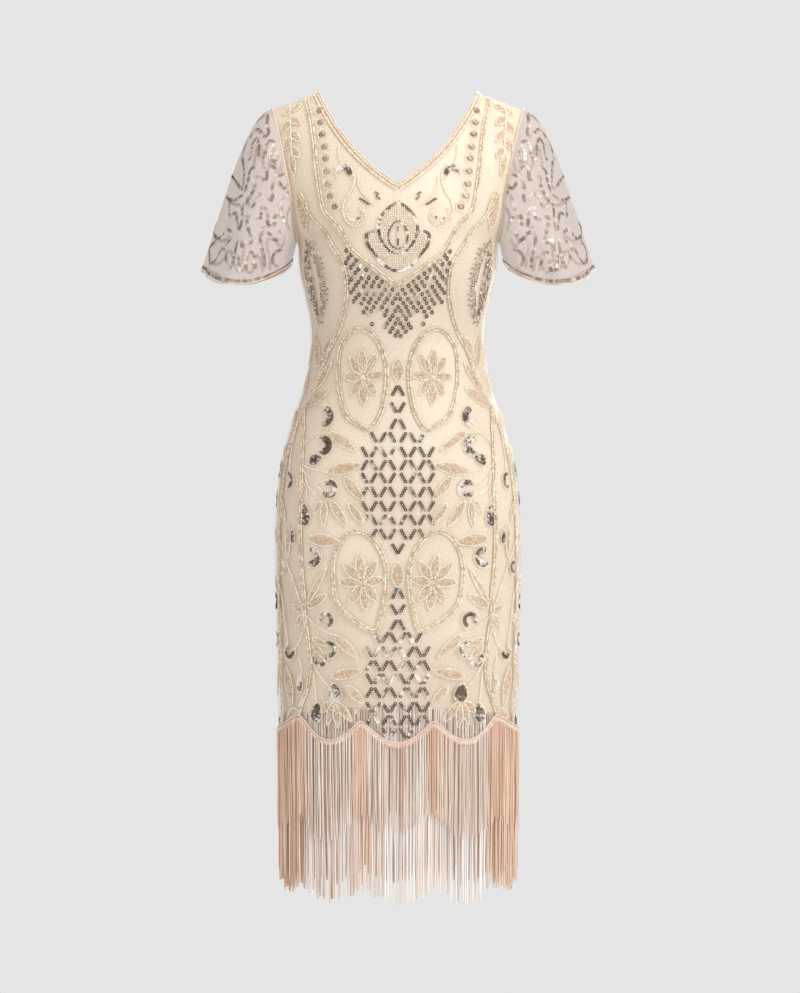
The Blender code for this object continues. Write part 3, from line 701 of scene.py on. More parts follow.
# %% The sleeve's surface
SLEEVE_FLUTES = [
    # angle, depth, half width in degrees
    (22, -0.0050, 16),
    (72, 0.0085, 14),
    (104, -0.0060, 16),
    (140, 0.0040, 16),
    (215, 0.0050, 18),
    (252, -0.0065, 15),
    (284, 0.0075, 14),
    (322, -0.0050, 16),
]
SLEEVE_X, SLEEVE_HALF_WIDTH, SLEEVE_HALF_DEPTH = 0.2245, 0.0675, 0.094
SLEEVE_HEM, SLEEVE_TILT, SLEEVE_DIP = -0.2555, 0.0075, 0.0275
ARMHOLE_TOP_X, SLEEVE_SEAM_GAP = 0.185, 0.0003
CAP_PUFF, SIDE_PUFF, RIPPLE = 0.018, 0.007, 0.0009


def armhole_place(side, angle):
    top = float(ridge_height(ARMHOLE_TOP_X))
    height = (top + ARMPIT_HEIGHT) / 2 + (top - ARMPIT_HEIGHT) / 2 * np.cos(angle)
    x = armhole_x(height)
    y = np.where(np.sin(angle) >= 0, chest_y("front", x, height), chest_y("back", x, height))
    return np.stack([side * x, y, height], axis=-1)


def sleeve_hem_place(side, angle):
    x = SLEEVE_X + SLEEVE_HALF_WIDTH * np.cos(angle)
    dip = SLEEVE_DIP * np.abs(np.sin(angle)) ** 1.5
    z = SLEEVE_HEM - SLEEVE_TILT * np.cos(angle) - SLEEVE_TILT * np.sin(angle) - dip
    return np.stack([side * x, RIDGE_Y - SLEEVE_HALF_DEPTH * np.sin(angle), z], axis=-1)


def sleeve_place(side, angle, down, lift=0.0):
    """A point of the sleeve. Angle 0 is the shoulder and a quarter turn the front; down 1 is the hem."""
    angle, down = np.broadcast_arrays(np.asarray(angle, float), np.asarray(down, float))
    start, end = armhole_place(side, angle), sleeve_hem_place(side, angle)
    start = start + (side * SLEEVE_SEAM_GAP, 0, 0)
    point = start + (end - start) * down[..., None]
    away = np.stack([side * np.maximum(np.cos(angle), -0.15), -np.sin(angle), 0 * angle], axis=-1)
    cap = CAP_PUFF * (0.5 + 0.5 * np.cos(angle)) * np.sin(math.pi * down**0.45)
    sides = SIDE_PUFF * np.abs(np.sin(angle)) * np.sin(math.pi * down**0.7)
    flutes = 0 * angle
    for place, depth, half_width in SLEEVE_FLUTES:
        turned = (np.degrees(angle) - place + 180) % 360 - 180
        flutes = flutes + depth * np.exp(-((turned / half_width) ** 2))
    small = RIPPLE * np.sin(angle * 17 + 1.3 * side) * down
    return point + unit(away) * (cap + sides + flutes * down**1.6 + small + lift)[..., None]


def sleeve_frame(side, angle, down):
    step = 0.01
    point = sleeve_place(side, angle, down)
    around = sleeve_place(side, angle + step, down) - sleeve_place(side, angle - step, down)
    fall = sleeve_place(side, angle, down + step) - sleeve_place(side, angle, down - step)
    return point, unit(around), unit(fall), unit(np.cross(around, fall)) * side


# %% Build the sleeves
SLEEVE_NAMES = {1: "left", -1: "right"}
for side, name in SLEEVE_NAMES.items():
    turn = np.linspace(0, 2 * math.pi, 144, endpoint=False)
    fall = np.linspace(0, 1, 44) ** 1.1
    points = sleeve_place(side, turn[None, :], fall[:, None])
    quads = grid_faces(len(fall), len(turn), closed=True)
    quads = quads if side > 0 else quads[:, ::-1]
    sleeve = add_piece(f"{name}_sleeve_net", points.reshape(-1, 3), quads, tulle_finish, "sleeve")
    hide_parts(f"{name}_sleeve")
    print(name, "sleeve, square metres:", round(surface_area(sleeve), 4))

# %% [markdown]
# ## Beads and sequins
# A bead sewn flat shows only its upper half, so a bead here is a low dome of a few faces. A sequin is a thin
# dished ring with a hole, and a bugle a short ridge. One small template is copied to every place by
# multiplying arrays: each copy has a place, a direction to lie along, an outward direction and three sizes.
# Geometry nodes could instance them too, but real faces export as they are.

# %% Templates one unit wide, lying in the x-y plane


def dome(sides, rings):
    """A half ball. Each ring is (radius, height), from the foot up; the top is one point."""
    turn = np.arange(sides) * 2 * math.pi / sides
    points = [(r * math.cos(a), r * math.sin(a), h) for r, h in rings for a in turn]
    points.append((0, 0, rings[-1][1] + 0.12))
    top = len(points) - 1
    faces = []
    for ring in range(len(rings) - 1):
        for i in range(sides):
            j = (i + 1) % sides
            a, b = ring * sides + i, ring * sides + j
            faces += [(a, b, b + sides), (a, b + sides, a + sides)]
    start = (len(rings) - 1) * sides
    faces += [(start + i, start + (i + 1) % sides, top) for i in range(sides)]
    return np.array(points), np.array(faces)


def ring_sequin(sides):
    turn = np.arange(sides) * 2 * math.pi / sides
    bands = ((0.17, 0.06), (0.34, 0.0), (0.5, 0.11))
    points = [(r * math.cos(a), r * math.sin(a), h) for r, h in bands for a in turn]
    faces = []
    for ring in range(2):
        for i in range(sides):
            j = (i + 1) % sides
            a, b = ring * sides + i, ring * sides + j
            faces += [(a, b + sides, b), (a, a + sides, b + sides)]
    return np.array(points), np.array(faces)


SEED_BEAD = dome(6, ((0.5, 0.0), (0.40, 0.30)))
FILL_BEAD = dome(5, ((0.5, 0.0), (0.38, 0.28)))
STONE = dome(10, ((0.5, 0.0), (0.47, 0.22), (0.26, 0.38)))
SLANT_BEAD = dome(4, ((0.5, 0.0), (0.40, 0.28)))
SEQUIN = ring_sequin(8)
BUGLE = dome(4, ((0.5, 0.0), (0.40, 0.32)))
TEMPLATES = {
    "rope": SEED_BEAD,
    "edge": FILL_BEAD,
    "leaf": SLANT_BEAD,
    "stone": STONE,
    "sequin": SEQUIN,
    "foil": SEQUIN,
    "bugle": BUGLE,
}
print("triangles of each template:", {name: len(t[1]) for name, t in TEMPLATES.items()})

# %% Keep what is laid, and sew it into one piece for each kind
LAID = {}


def lay(group, kind, place, along, out, size, tilt=0.0):
    """Keeps copies of a template. Size is (length, width, height) in metres, one for all or one each."""
    place = np.asarray(place).reshape(-1, 3)
    along, out = np.asarray(along).reshape(-1, 3), np.asarray(out).reshape(-1, 3)
    if tilt:
        out = unit(out + chance.normal(0, tilt, out.shape))
    along = unit(along - out * np.sum(along * out, axis=1, keepdims=True))
    size = np.broadcast_to(np.asarray(size, float), place.shape)
    LAID.setdefault((group, kind), []).append((place, along, out, size))


def sew(group, kind, finish, slot):
    """Makes one piece of everything that was laid under a group and kind."""
    parts = LAID.pop((group, kind), None)
    if not parts:
        return None
    place, along, out, size = (np.concatenate([part[i] for part in parts]) for i in range(4))
    points, faces = TEMPLATES[kind]
    side = np.cross(out, along)
    scaled = points[None] * size[:, None]
    x, y, z = (scaled[..., i : i + 1] for i in range(3))
    turned = x * along[:, None] + y * side[:, None] + z * out[:, None]
    corners = faces[None] + (np.arange(len(place)) * len(points))[:, None, None]
    name = f"{group}_{kind}s"
    made = add_piece(name, (turned + place[:, None]).reshape(-1, 3), corners.reshape(-1, 3), finish, slot)
    print(name, len(place), "copies,", len(corners.reshape(-1, 3)), "triangles")
    return made


# %% [markdown]
# ## Lines of beads
# A hand embroiderer draws a line on the cloth and sews along it. The line is given by a few points on the
# flat pattern, a smooth curve is drawn through them, pressed on to the cloth, and cut into equal steps.

# %% Draw lines on the cloth


def smooth_line(points, closed=False, per_span=14):
    """A Catmull-Rom curve through points of the flat pattern."""
    p = np.array(points, float)
    count = len(p)
    if closed:
        p = np.concatenate([p[-1:], p, p[:2]])
    else:
        p = np.concatenate([2 * p[:1] - p[1:2], p, 2 * p[-1:] - p[-2:-1]])
    t = np.linspace(0, 1, per_span, endpoint=False)[:, None]
    spans = []
    for i in range(count if closed else count - 1):
        a, b, c, d = p[i : i + 4]
        rise = 2 * b + (c - a) * t + (2 * a - 5 * b + 4 * c - d) * t**2
        spans.append(0.5 * (rise + (3 * b - a - 3 * c + d) * t**3))
    spans.append(p[1:2] if closed else p[-2:-1])
    return np.concatenate(spans)


def walk(path, out, pitch):
    """Equal steps along a line in space: places, directions along it, across it and outward."""
    reached = run_length(path)
    steps = np.linspace(0, reached[-1], max(int(round(reached[-1] / pitch)), 2))
    place, outward = part_way(path, reached, steps), unit(part_way(out, reached, steps))
    along = unit(np.gradient(place, axis=0))
    return place, along, np.cross(outward, along), outward


def slanted(along, side, slant):
    """A direction turned by some degrees from along towards the side."""
    angle = math.radians(slant)
    return along * math.cos(angle) + side * math.sin(angle)


LINE_BEAD, LINE_PITCH = (0.0030, 0.0025, 0.0022), 0.0027


def lay_line(face, line, kind="edge", offset=0.0, pitch=LINE_PITCH, size=LINE_BEAD, slant=0.0):
    """One row of copies beside a pattern line. Offset is in metres and slant in degrees."""
    line = line[inside_cloth(face, line[:, 0], line[:, 1])]
    if len(line) < 2:
        return
    path, _, _, outward = cloth_frame(face, line[:, 0], line[:, 1])
    place, along, side, out = walk(path, outward, pitch)
    lay(face, kind, place + side * offset, slanted(along, side, slant), out, size)


ROPE_BEAD, ROPE_PITCH, ROPE_SLANT, HALF_ROPE = (0.0042, 0.0026, 0.0024), 0.0028, 32, 0.0019


def lay_rope(face, points, closed=False):
    """Two rows of slanting beads side by side, like a braid."""
    line = smooth_line(points, closed)
    for row in (-1, 1):
        lay_line(face, line, "rope", row * HALF_ROPE, ROPE_PITCH, ROPE_BEAD, row * ROPE_SLANT)


def mirrored(points, side):
    return np.array(points, float) * (side, 1)


def lay_flat(face, kind, points, angle, size, tilt=0.0):
    """Copies at points of the flat pattern. Angle 0 lies across and a quarter turn lies down."""
    points = np.asarray(points, float).reshape(-1, 2)
    angle = np.broadcast_to(np.asarray(angle, float), len(points))
    keep = inside_cloth(face, points[:, 0], points[:, 1])
    points, angle = points[keep], angle[keep]
    if not len(points):
        return
    place, over, fall, out = cloth_frame(face, points[:, 0], points[:, 1])
    lay(face, kind, place, over * np.cos(angle)[:, None] + fall * np.sin(angle)[:, None], out, size, tilt)


# %% [markdown]
# ## Ropes and vines
# Two-row ropes draw the large lines: a bib from the shoulders to a point under the bust, side lines from the
# armholes to the hips, and vines down to the hem. Each table gives millimetres across and down for one half,
# and the other half is its mirror image. The back repeats the front.

# %% Lay the ropes
ROPES = {
    "bib": [(147, 6), (133, 40), (125, 80), (121, 120), (117, 150), (111, 184), (99, 199), (87, 213),
            (78, 229), (64, 249), (34, 272), (1, 297)],
    "side_line": [(150, 158), (144, 176), (136, 193), (124, 207), (111, 219), (97, 241), (86, 255), (78, 277),
                  (76, 300), (78, 320), (87, 349), (98, 370), (109, 386), (120, 410), (136, 441), (155, 463)],
    "vine": [(155, 463), (151, 485), (148, 515), (147, 550), (147, 600), (148, 650), (146, 700), (142, 740),
             (142, 766), (138, 790), (134, 820), (133, 845), (138, 872), (147, 893), (155, 912)],
    "far_vine": [(155, 463), (168, 492), (181, 530), (190, 575), (196, 630), (200, 690), (201, 750),
                 (199, 810), (196, 860), (192, 915)],
}
OVALS = {
    "upper": [(60, 356), (76, 366), (88, 386), (90, 420), (86, 448), (76, 478), (60, 492), (40, 500),
              (26, 480), (19, 454), (16, 424), (19, 398), (29, 374), (42, 360)],
    "lower": [(60, 647), (78, 656), (91, 678), (95, 706), (92, 738), (83, 757), (60, 777), (33, 790),
              (24, 768), (18, 740), (16, 710), (20, 686), (31, 665), (44, 652)],
}
SINGLE_LINES = [
    [(207, 642), (190, 668), (171, 702), (156, 733), (145, 760)],
    [(141, 768), (124, 781), (108, 790), (90, 797)],
    [(145, 552), (128, 557), (104, 563)],
    [(143, 560), (130, 572), (112, 588)],
    [(141, 562), (135, 582), (122, 592)],
    [(148, 528), (136, 512), (118, 505), (100, 506)],
    [(147, 795), (153, 810), (164, 819), (172, 822)],
    [(133, 826), (122, 846), (110, 862), (99, 872)],
    [(127, 850), (124, 875), (122, 895)],
    [(152, 830), (148, 850), (151, 862)],
    [(163, 476), (170, 510), (173, 540), (172, 562)],
    [(207, 560), (203, 600), (205, 640)],
    [(206, 716), (190, 742), (183, 780), (177, 812)],
]

for face in FACES:
    for side in (-1, 1):
        for points in ROPES.values():
            lay_rope(face, mirrored(points, side))
        for points in OVALS.values():
            lay_rope(face, mirrored(points, side), closed=True)
        for points in SINGLE_LINES:
            lay_line(face, smooth_line(mirrored(points, side)))
print("bead rows so far:", sum(len(parts) for parts in LAID.values()))

# %% [markdown]
# ## Leaves and flowers
# A leaf is outlined with one row of round beads and filled with slanting ones in two directions, which meet
# at a middle rib. A flower is eight such leaves round a small heap of beads.

# %% Leaf and flower stitches
OUTLINE_BEAD, OUTLINE_PITCH = (0.0031, 0.0023, 0.0021), 0.0026
LEAF_BEAD, LEAF_PITCH, LEAF_ROW = (0.0035, 0.0024, 0.0022), 2.9, 2.5
HEAP_BEAD, HEAP_RADIUS = (0.0032, 0.0032, 0.0034), 3.4


def leaf_width(t, width, point=0.75):
    """Half the width of a leaf at a share of its length. A lower point makes both ends blunter."""
    return width / 2 * np.sin(math.pi * t**0.85) ** point


def lay_leaf(face, base, tip, width, side, bend=0.0, point=0.75):
    base, tip = np.array(base, float), np.array(tip, float)
    span = tip - base
    length = float(np.hypot(*span))
    forward = span / length
    across = np.array((-forward[1], forward[0]))

    def at(t, off):
        t, off = np.broadcast_arrays(np.asarray(t, float), np.asarray(off, float))
        curve = bend * np.sin(math.pi * t)
        return base + forward * (t * length)[..., None] + across * (off + curve)[..., None]

    t = np.linspace(0.02, 0.98, 24)
    half = leaf_width(t, width, point)
    edge = np.concatenate([at(t, half), at(t[::-1], -half[::-1])])
    lay_line(face, edge * (side, 1), "edge", 0.0, OUTLINE_PITCH, OUTLINE_BEAD)
    heading = math.atan2(forward[1], forward[0])
    rows = max(int((width - 3.4) / LEAF_ROW), 1)
    for off in (np.arange(rows) - (rows - 1) / 2) * LEAF_ROW:
        t = np.arange(1.8, length - 1.5, LEAF_PITCH) / length
        t = t[leaf_width(t, width, point) > abs(off) + 1.7]
        if not len(t):
            continue
        points = at(t + chance.uniform(-0.3, 0.3, len(t)) / length, off)
        slant = heading + (0.55 if off > 0 else -0.55 if off < 0 else 0)
        angle = slant if side > 0 else math.pi - slant
        lay_flat(face, "leaf", points * (side, 1), angle, LEAF_BEAD, 0.12)


PETAL_WIDTH, PETAL_POINT, PETAL_START = 12.8, 0.58, 0.16


def lay_flower(face, centre, tips, side):
    centre = np.array(centre, float)
    for tip in tips:
        tip = np.array(tip, float)
        start = centre + (tip - centre) * PETAL_START
        lay_leaf(face, start, tip, PETAL_WIDTH, side, point=PETAL_POINT)
    turn = np.linspace(0, 2 * math.pi, 8, endpoint=False)
    ring = centre + HEAP_RADIUS * np.stack([np.cos(turn), np.sin(turn)], axis=1)
    heap = np.concatenate([ring, centre[None], centre + (ring - centre) * 0.45])
    lay_flat(face, "rope", heap * (side, 1), 0.0, HEAP_BEAD, 0.1)


# %% Lay the leaves and flowers
FLOWERS = [
    ((50, 425), [(53, 385), (71, 395), (31, 392), (80, 424), (20, 421), (68, 451), (50, 465), (31, 451)]),
    ((50, 721), [(57, 679), (79, 693), (31, 689), (86, 720), (20, 716), (69, 750), (46, 760), (30, 746)]),
]
LEAVES = [
    # base, tip, width
    ((122, 398), (104, 364), 11),
    ((129, 408), (146, 360), 17),
    ((139, 446), (101, 402), 13),
    ((151, 465), (102, 440), 15),
    ((100, 504), (60, 532), 13),
    ((104, 562), (51, 551), 16),
    ((78, 569), (50, 603), 13),
    ((71, 607), (49, 637), 11),
    ((98, 603), (73, 640), 12),
    ((107, 604), (110, 641), 10),
    ((113, 603), (124, 622), 8),
    ((134, 657), (84, 663), 17),
    ((137, 752), (104, 699), 8),
    ((136, 757), (103, 738), 13),
    ((146, 762), (165, 755), 9),
    ((147, 768), (158, 786), 9),
    ((93, 796), (57, 829), 13),
    ((128, 802), (103, 812), 9),
    ((128, 812), (106, 829), 9),
    ((98, 856), (51, 847), 14),
    ((73, 869), (49, 894), 12),
    ((99, 892), (115, 908), 11),
    ((95, 894), (104, 926), 10),
    ((91, 895), (87, 930), 10),
    ((88, 893), (66, 920), 11),
    ((146, 575), (138, 602), 8),
    ((163, 476), (146, 502), 11),
    ((178, 500), (193, 470), 11),
    ((188, 548), (207, 520), 12),
    ((172, 636), (174, 688), 11),
    ((196, 600), (180, 632), 11),
    ((201, 668), (218, 640), 12),
    ((182, 845), (168, 900), 17),
    ((202, 840), (214, 892), 15),
    ((201, 735), (219, 712), 11),
    ((200, 780), (183, 768), 9),
    ((159, 905), (180, 918), 10),
    ((164, 412), (166, 448), 12),
    ((156, 375), (170, 405), 10),
]
CENTRE_LEAVES = [((0, 431), (0, 397), 17), ((0, 727), (0, 690), 18)]
ARMPIT_LEAF = ((151, 156), (152, 214), 21)
SHOULDER_STEM = [(171, 20), (166, 38), (163, 60), (161, 90), (160, 110)]
SHOULDER_LEAVES = [
    ((167, 30), (150, 22), 11),
    ((166, 24), (178, 38), 10),
    ((165, 42), (147, 54), 12),
    ((165, 48), (178, 64), 12),
    ((163, 64), (146, 82), 12),
    ((163, 74), (175, 93), 12),
    ((161, 90), (147, 106), 11),
    ((162, 98), (158, 134), 11),
]
for face in FACES:
    for side in (-1, 1):
        for centre, tips in FLOWERS:
            lay_flower(face, centre, tips, side)
        for base, tip, width in LEAVES + SHOULDER_LEAVES:
            lay_leaf(face, base, tip, width, side)
        lay_line(face, smooth_line(mirrored(SHOULDER_STEM, side)))
        lay_leaf(face, *ARMPIT_LEAF, side, bend=3.0)
    for base, tip, width in CENTRE_LEAVES:
        lay_leaf(face, base, tip, width, 1)
print("leaves for each face:", 2 * len(LEAVES + SHOULDER_LEAVES) + 4)

# %% [markdown]
# ## Sequins
# Sequins overlap like fish scales, so each is tipped a little by the one beneath. Chance tips them here,
# within a few degrees, which makes some catch the light and others go dark, as foil does. A share of them
# also carries a painted glint, a near-white colour in place of reflected light.

# %% Sequin stitches
RING = 0.0053
FOIL_DOT, DOT_TILT = (0.0036, 0.0036, 0.0036), 0.2
FINE_BEAD, FINE_PITCH = (0.0024, 0.0019, 0.0017), 0.0023


def lay_stick(face, centre, lean, kind="sequin", count=4, pitch=4.0):
    """A short row of overlapping sequins. Lean is the angle from the line across, in radians."""
    steps = (np.arange(count) - (count - 1) / 2) * pitch
    points = np.array(centre) + steps[:, None] * (math.cos(lean), math.sin(lean))
    lay_flat(face, kind, points, lean, (RING, RING, RING), 0.09)


def lay_crescent(face, centre, radius, start, sweep, thick, side, outline=True):
    """A curved comma of small sequins. Angles are in degrees, 0 across and 90 down."""
    centre = np.array(centre, float)
    rows = max(int(thick / 2.2), 1)
    for k in range(rows):
        off = (k - (rows - 1) / 2) * 2.2
        t = np.arange(0.0, 1.0, 2.3 / (radius * math.radians(abs(sweep)) + 1e-6))
        t = t[thick / 2 * np.sin(math.pi * (0.12 + 0.8 * t)) ** 0.7 >= abs(off) * 0.9]
        turn = np.radians(start + sweep * t)
        points = centre + (radius + off) * np.stack([np.cos(turn), np.sin(turn)], axis=1)
        angle = turn + math.pi / 2
        angle = angle if side > 0 else math.pi - angle
        lay_flat(face, "foil", points * (side, 1), angle, FOIL_DOT, DOT_TILT)
    if outline:
        turn = np.radians(np.linspace(start - np.sign(sweep) * 12, start + sweep * 1.05, 40))
        line = centre + (radius + thick / 2 + 1.6) * np.stack([np.cos(turn), np.sin(turn)], axis=1)
        lay_line(face, line * (side, 1), "edge", 0.0, FINE_PITCH, FINE_BEAD)


def lay_drop(face, centre, length, width, lean, side):
    """A drop filled with small sequins, in an outline of beads."""
    centre = np.array(centre, float)
    forward = np.array((math.cos(math.radians(lean)), math.sin(math.radians(lean))))
    over = np.array((-forward[1], forward[0]))
    spread = 0.56 * width
    u, v = np.meshgrid(np.arange(-length / 2, length / 2, 2.5), np.arange(-spread, spread + 1, 2.5))
    u = u + 1.2 * (np.arange(v.shape[0]) % 2)[:, None]
    reach = (2 * u / length) ** 2 + (2 * v / (width * (0.92 + 0.24 * 2 * u / length))) ** 2
    points = centre + u[..., None] * forward + v[..., None] * over
    points = points[reach < 0.92]
    lay_flat(face, "foil", points * (side, 1), 0.4, FOIL_DOT, DOT_TILT)
    turn = np.linspace(0, 2 * math.pi, 48)
    edge = centre + (length / 2 + 1.2) * np.cos(turn)[:, None] * forward
    edge = edge + ((width / 2 + 1.2) * (0.92 + 0.24 * np.cos(turn)) * np.sin(turn))[:, None] * over
    lay_line(face, edge * (side, 1), "edge", 0.0, FINE_PITCH, FINE_BEAD)


# %% Commas and drops of sequins along the vines
CRESCENTS = [
    # centre, radius, first angle, sweep, thickness
    ((110, 481), 10.0, 80, 190, 10.0),
    ((111, 523), 9.5, 70, 225, 9.5),
    ((101, 586), 9.5, 40, 280, 7.0),
    ((128, 684), 10.0, 65, 220, 9.5),
    ((106, 775), 9.0, 15, -255, 6.5),
    ((101, 817), 9.0, -70, -200, 6.5),
    ((116, 831), 9.0, -25, 235, 6.0),
    ((177, 573), 10.0, 100, 160, 5.5),
    ((172, 822), 8.0, -60, 240, 6.0),
    ((216, 556), 8.5, 80, 200, 7.0),
    ((215, 750), 8.5, 60, 220, 7.0),
    ((213, 806), 8.0, 70, 230, 6.0),
    ((188, 700), 7.0, 80, 200, 5.0),
]
DROPS = [
    # centre, length, width, lean
    ((141, 624), 31, 20, 90),
    ((122, 908), 28, 18, 80),
    ((92, 879), 25, 20, 100),
    ((152, 868), 22, 9, 90),
    ((123, 543), 21, 15, 25),
    ((215, 600), 24, 10, 95),
    ((200, 925), 20, 9, 90),
    ((163, 655), 20, 8, 90),
]
for face in FACES:
    for side in (-1, 1):
        for centre, radius, start, sweep, thick in CRESCENTS:
            lay_crescent(face, centre, radius, start, sweep, thick, side)
        for centre, length, width, lean in DROPS:
            lay_drop(face, centre, length, width, lean, side)

# %% Lattice of short sticks down the centre
LATTICE_LEAN = 60.0
LATTICES = [
    # rows down, spacing, sticks in each half row, share of sticks in foil, whose painted glints make them
    # bright
    ([512, 533, 552, 570.5, 590.5, 611, 630.5, 651], 13.3, [3, 4, 4, 4, 4, 4, 4, 3], 0.1),
    ([799, 819.5, 839.5, 858.5, 878, 899, 918, 936], 11.4, [3, 4, 4, 4, 4, 4, 4, 2], 0.45),
]
MIDDLE_STICKS = [
    # out from the centre, down, lean
    (4.6, 445, 62),
    (5.6, 469, 120),
    (6.4, 493, 62),
    (4.2, 672, 120),
    (4.6, 736, 66),
    (5.6, 759, 120),
    (5.6, 781, 62),
]


def lay_lattice(face, rows, spacing, reach, painted_glint_share):
    """Sticks lean to and fro in each row, and the next row leans the other way, which makes diamonds."""
    for row, down in enumerate(rows):
        for column in range(reach[row]):
            for side in (-1, 1):
                # the half on the right is the mirror image of the left one
                falls = (row + column) % 2 == 0
                angle = math.radians(LATTICE_LEAN if falls else 180 - LATTICE_LEAN)
                angle = angle if side < 0 else math.pi - angle
                kind = "foil" if chance.random() < painted_glint_share else "sequin"
                lay_stick(face, (side * spacing * (column + 0.6), down), angle, kind)


for face in FACES:
    for rows, spacing, reach, painted_glint_share in LATTICES:
        lay_lattice(face, rows, spacing, reach, painted_glint_share)
    for side in (-1, 1):
        for across, down, angle in MIDDLE_STICKS:
            lean = math.radians(angle if side > 0 else 180 - angle)
            lay_stick(face, (side * across, down), lean)

# %% [markdown]
# ## The bib's sequins
# Under the bib's point hang rows of single ring sequins. Each row repeats the slope of the rope above it, and
# the rows stop at a stepped lower edge, so the field ends in points.

# %% Rings under the bib
BIB_EDGE = np.array([(0, 308), (34, 282), (52, 269), (66, 255), (74, 246)], float)
FIELD_FOOT = np.array([(0, 373), (9, 362), (19, 363), (21, 336), (30, 330), (38, 349), (50, 336),
                       (57, 322), (66, 326), (73, 300), (76, 290)], float)
BIB_ROWS, BIB_ROW_DROP, BIB_RING_PITCH, BIB_REACH = 15, 8.7, 7.6, 77
BIB_RING = (0.0070, 0.0056, 0.0048)


def lay_bib_rings(face):
    for row in range(BIB_ROWS):
        shift = row * BIB_ROW_DROP
        across = np.arange(BIB_RING_PITCH / 2 * (row % 2), BIB_REACH, BIB_RING_PITCH)
        down = np.interp(across, BIB_EDGE[:, 0], BIB_EDGE[:, 1]) + shift
        keep = down < np.interp(across, FIELD_FOOT[:, 0], FIELD_FOOT[:, 1])
        across, down = across[keep], down[keep]
        for side in (-1, 1):
            here = across > 0.1 if side < 0 else across >= 0
            points = np.stack([side * across[here], down[here]], axis=1)
            points = points + chance.normal(0, 0.4, points.shape)
            lay_flat(face, "sequin", points, 1.5, BIB_RING, 0.12)


for face in FACES:
    lay_bib_rings(face)

# %% [markdown]
# ## Sunbursts at the bust
# Each sunburst is a tall pointed eye, dark inside, with bugle beads that radiate from its edge like rays.

# %% Lay the sunbursts
EYE_TOP, EYE_FOOT = np.array((159.0, 224.0)), np.array((134.0, 347.0))
EYE_EDGES = (-20.0, 19.0, -5.0)
EDGE_BUGLE, EDGE_BUGLE_PITCH = (0.0048, 0.0021, 0.0020), 0.0046
DARK_BUGLES, DARK_BUGLE = 150, (0.0060, 0.0019, 0.0018)
RAYS, RAY_BUGLE, RAY_STEP = 36, (0.0060, 0.0021, 0.0018), 5.6


def eye_edge(t, bulge):
    line = EYE_TOP + (EYE_FOOT - EYE_TOP) * t[:, None]
    return line + np.stack([bulge * np.sin(math.pi * t), 0 * t], axis=1)


def lay_sunburst(face, side):
    t = np.linspace(0, 1, 40)
    for bulge in EYE_EDGES:
        lay_line(face, eye_edge(t, bulge) * (side, 1), "bugle", 0.0, EDGE_BUGLE_PITCH, EDGE_BUGLE)
    for _ in range(DARK_BUGLES):
        t = np.array([chance.uniform(0.14, 0.88)])
        bulge = chance.uniform(-4, 17) * math.sin(math.pi * t[0]) ** 0.6
        lean = 1.45 + chance.normal(0, 0.3)
        lean = lean if side > 0 else math.pi - lean
        lay_flat(face, "bugle", eye_edge(t, bulge) * (side, 1), lean, DARK_BUGLE, 0.15)
    for k, t in enumerate(np.linspace(0.08, 0.92, RAYS)):
        start = eye_edge(np.array([t]), EYE_EDGES[0])[0]
        turn = math.radians(180 + 58 * (0.5 - t) * 2)
        away = np.array((math.cos(turn), math.sin(turn)))
        reach = (20 if k % 2 else 13) * math.sin(math.pi * (0.12 + 0.76 * t)) ** 0.7
        for step in np.arange(3.8, reach, RAY_STEP):
            lean = turn if side > 0 else math.pi - turn
            lay_flat(face, "bugle", (start + away * step) * (side, 1), lean, RAY_BUGLE, 0.15)


for face in FACES:
    for side in (-1, 1):
        lay_sunburst(face, side)

# %% [markdown]
# ## Stones, scrolls and the bud
# A column of smoky stones lies inside the bib on each side, each in a ring of tiny beads. Between them and
# the V are scrolls that end in curls. In the middle is a bud of nested petal arches, outlined in sequins and
# filled with cream beads.

# %% Lay the stones and scrolls
STONES = [(118, 34), (115, 53), (112, 72), (108, 91), (106, 109), (104, 128), (102, 147), (99, 165),
          (92, 181)]
SCROLLS = [
    [(86, 90), (86, 104), (83, 117), (88, 126), (91, 133), (88, 139)],
    [(84, 118), (74, 117), (66, 128), (63, 142), (67, 157), (76, 171), (80, 186), (76, 201), (66, 210),
     (54, 209), (46, 201), (47, 191), (55, 187)],
    [(57, 138), (57, 149), (52, 160), (42, 172), (33, 181)],
]
LOOSE_SEQUINS = [(54, 171), (51, 173), (48, 175), (45, 177), (42, 179), (32, 162), (29, 164), (30, 168),
                 (27, 171)]
STONE_SIZE, SETTING_RADIUS, SETTING_PITCH = (0.0104, 0.0078, 0.0044), 7.0, 0.0021
SETTING_BEAD, CURL_BEAD = (0.0022, 0.0018, 0.0016), (0.0026, 0.0024, 0.0018)
CURL_CENTRE, CURL_RADII, CURL_PITCH = (62, 193), (12.0, 15.0), 0.0029
LOOSE_SEQUIN = (0.0040, 0.0040, 0.0040)
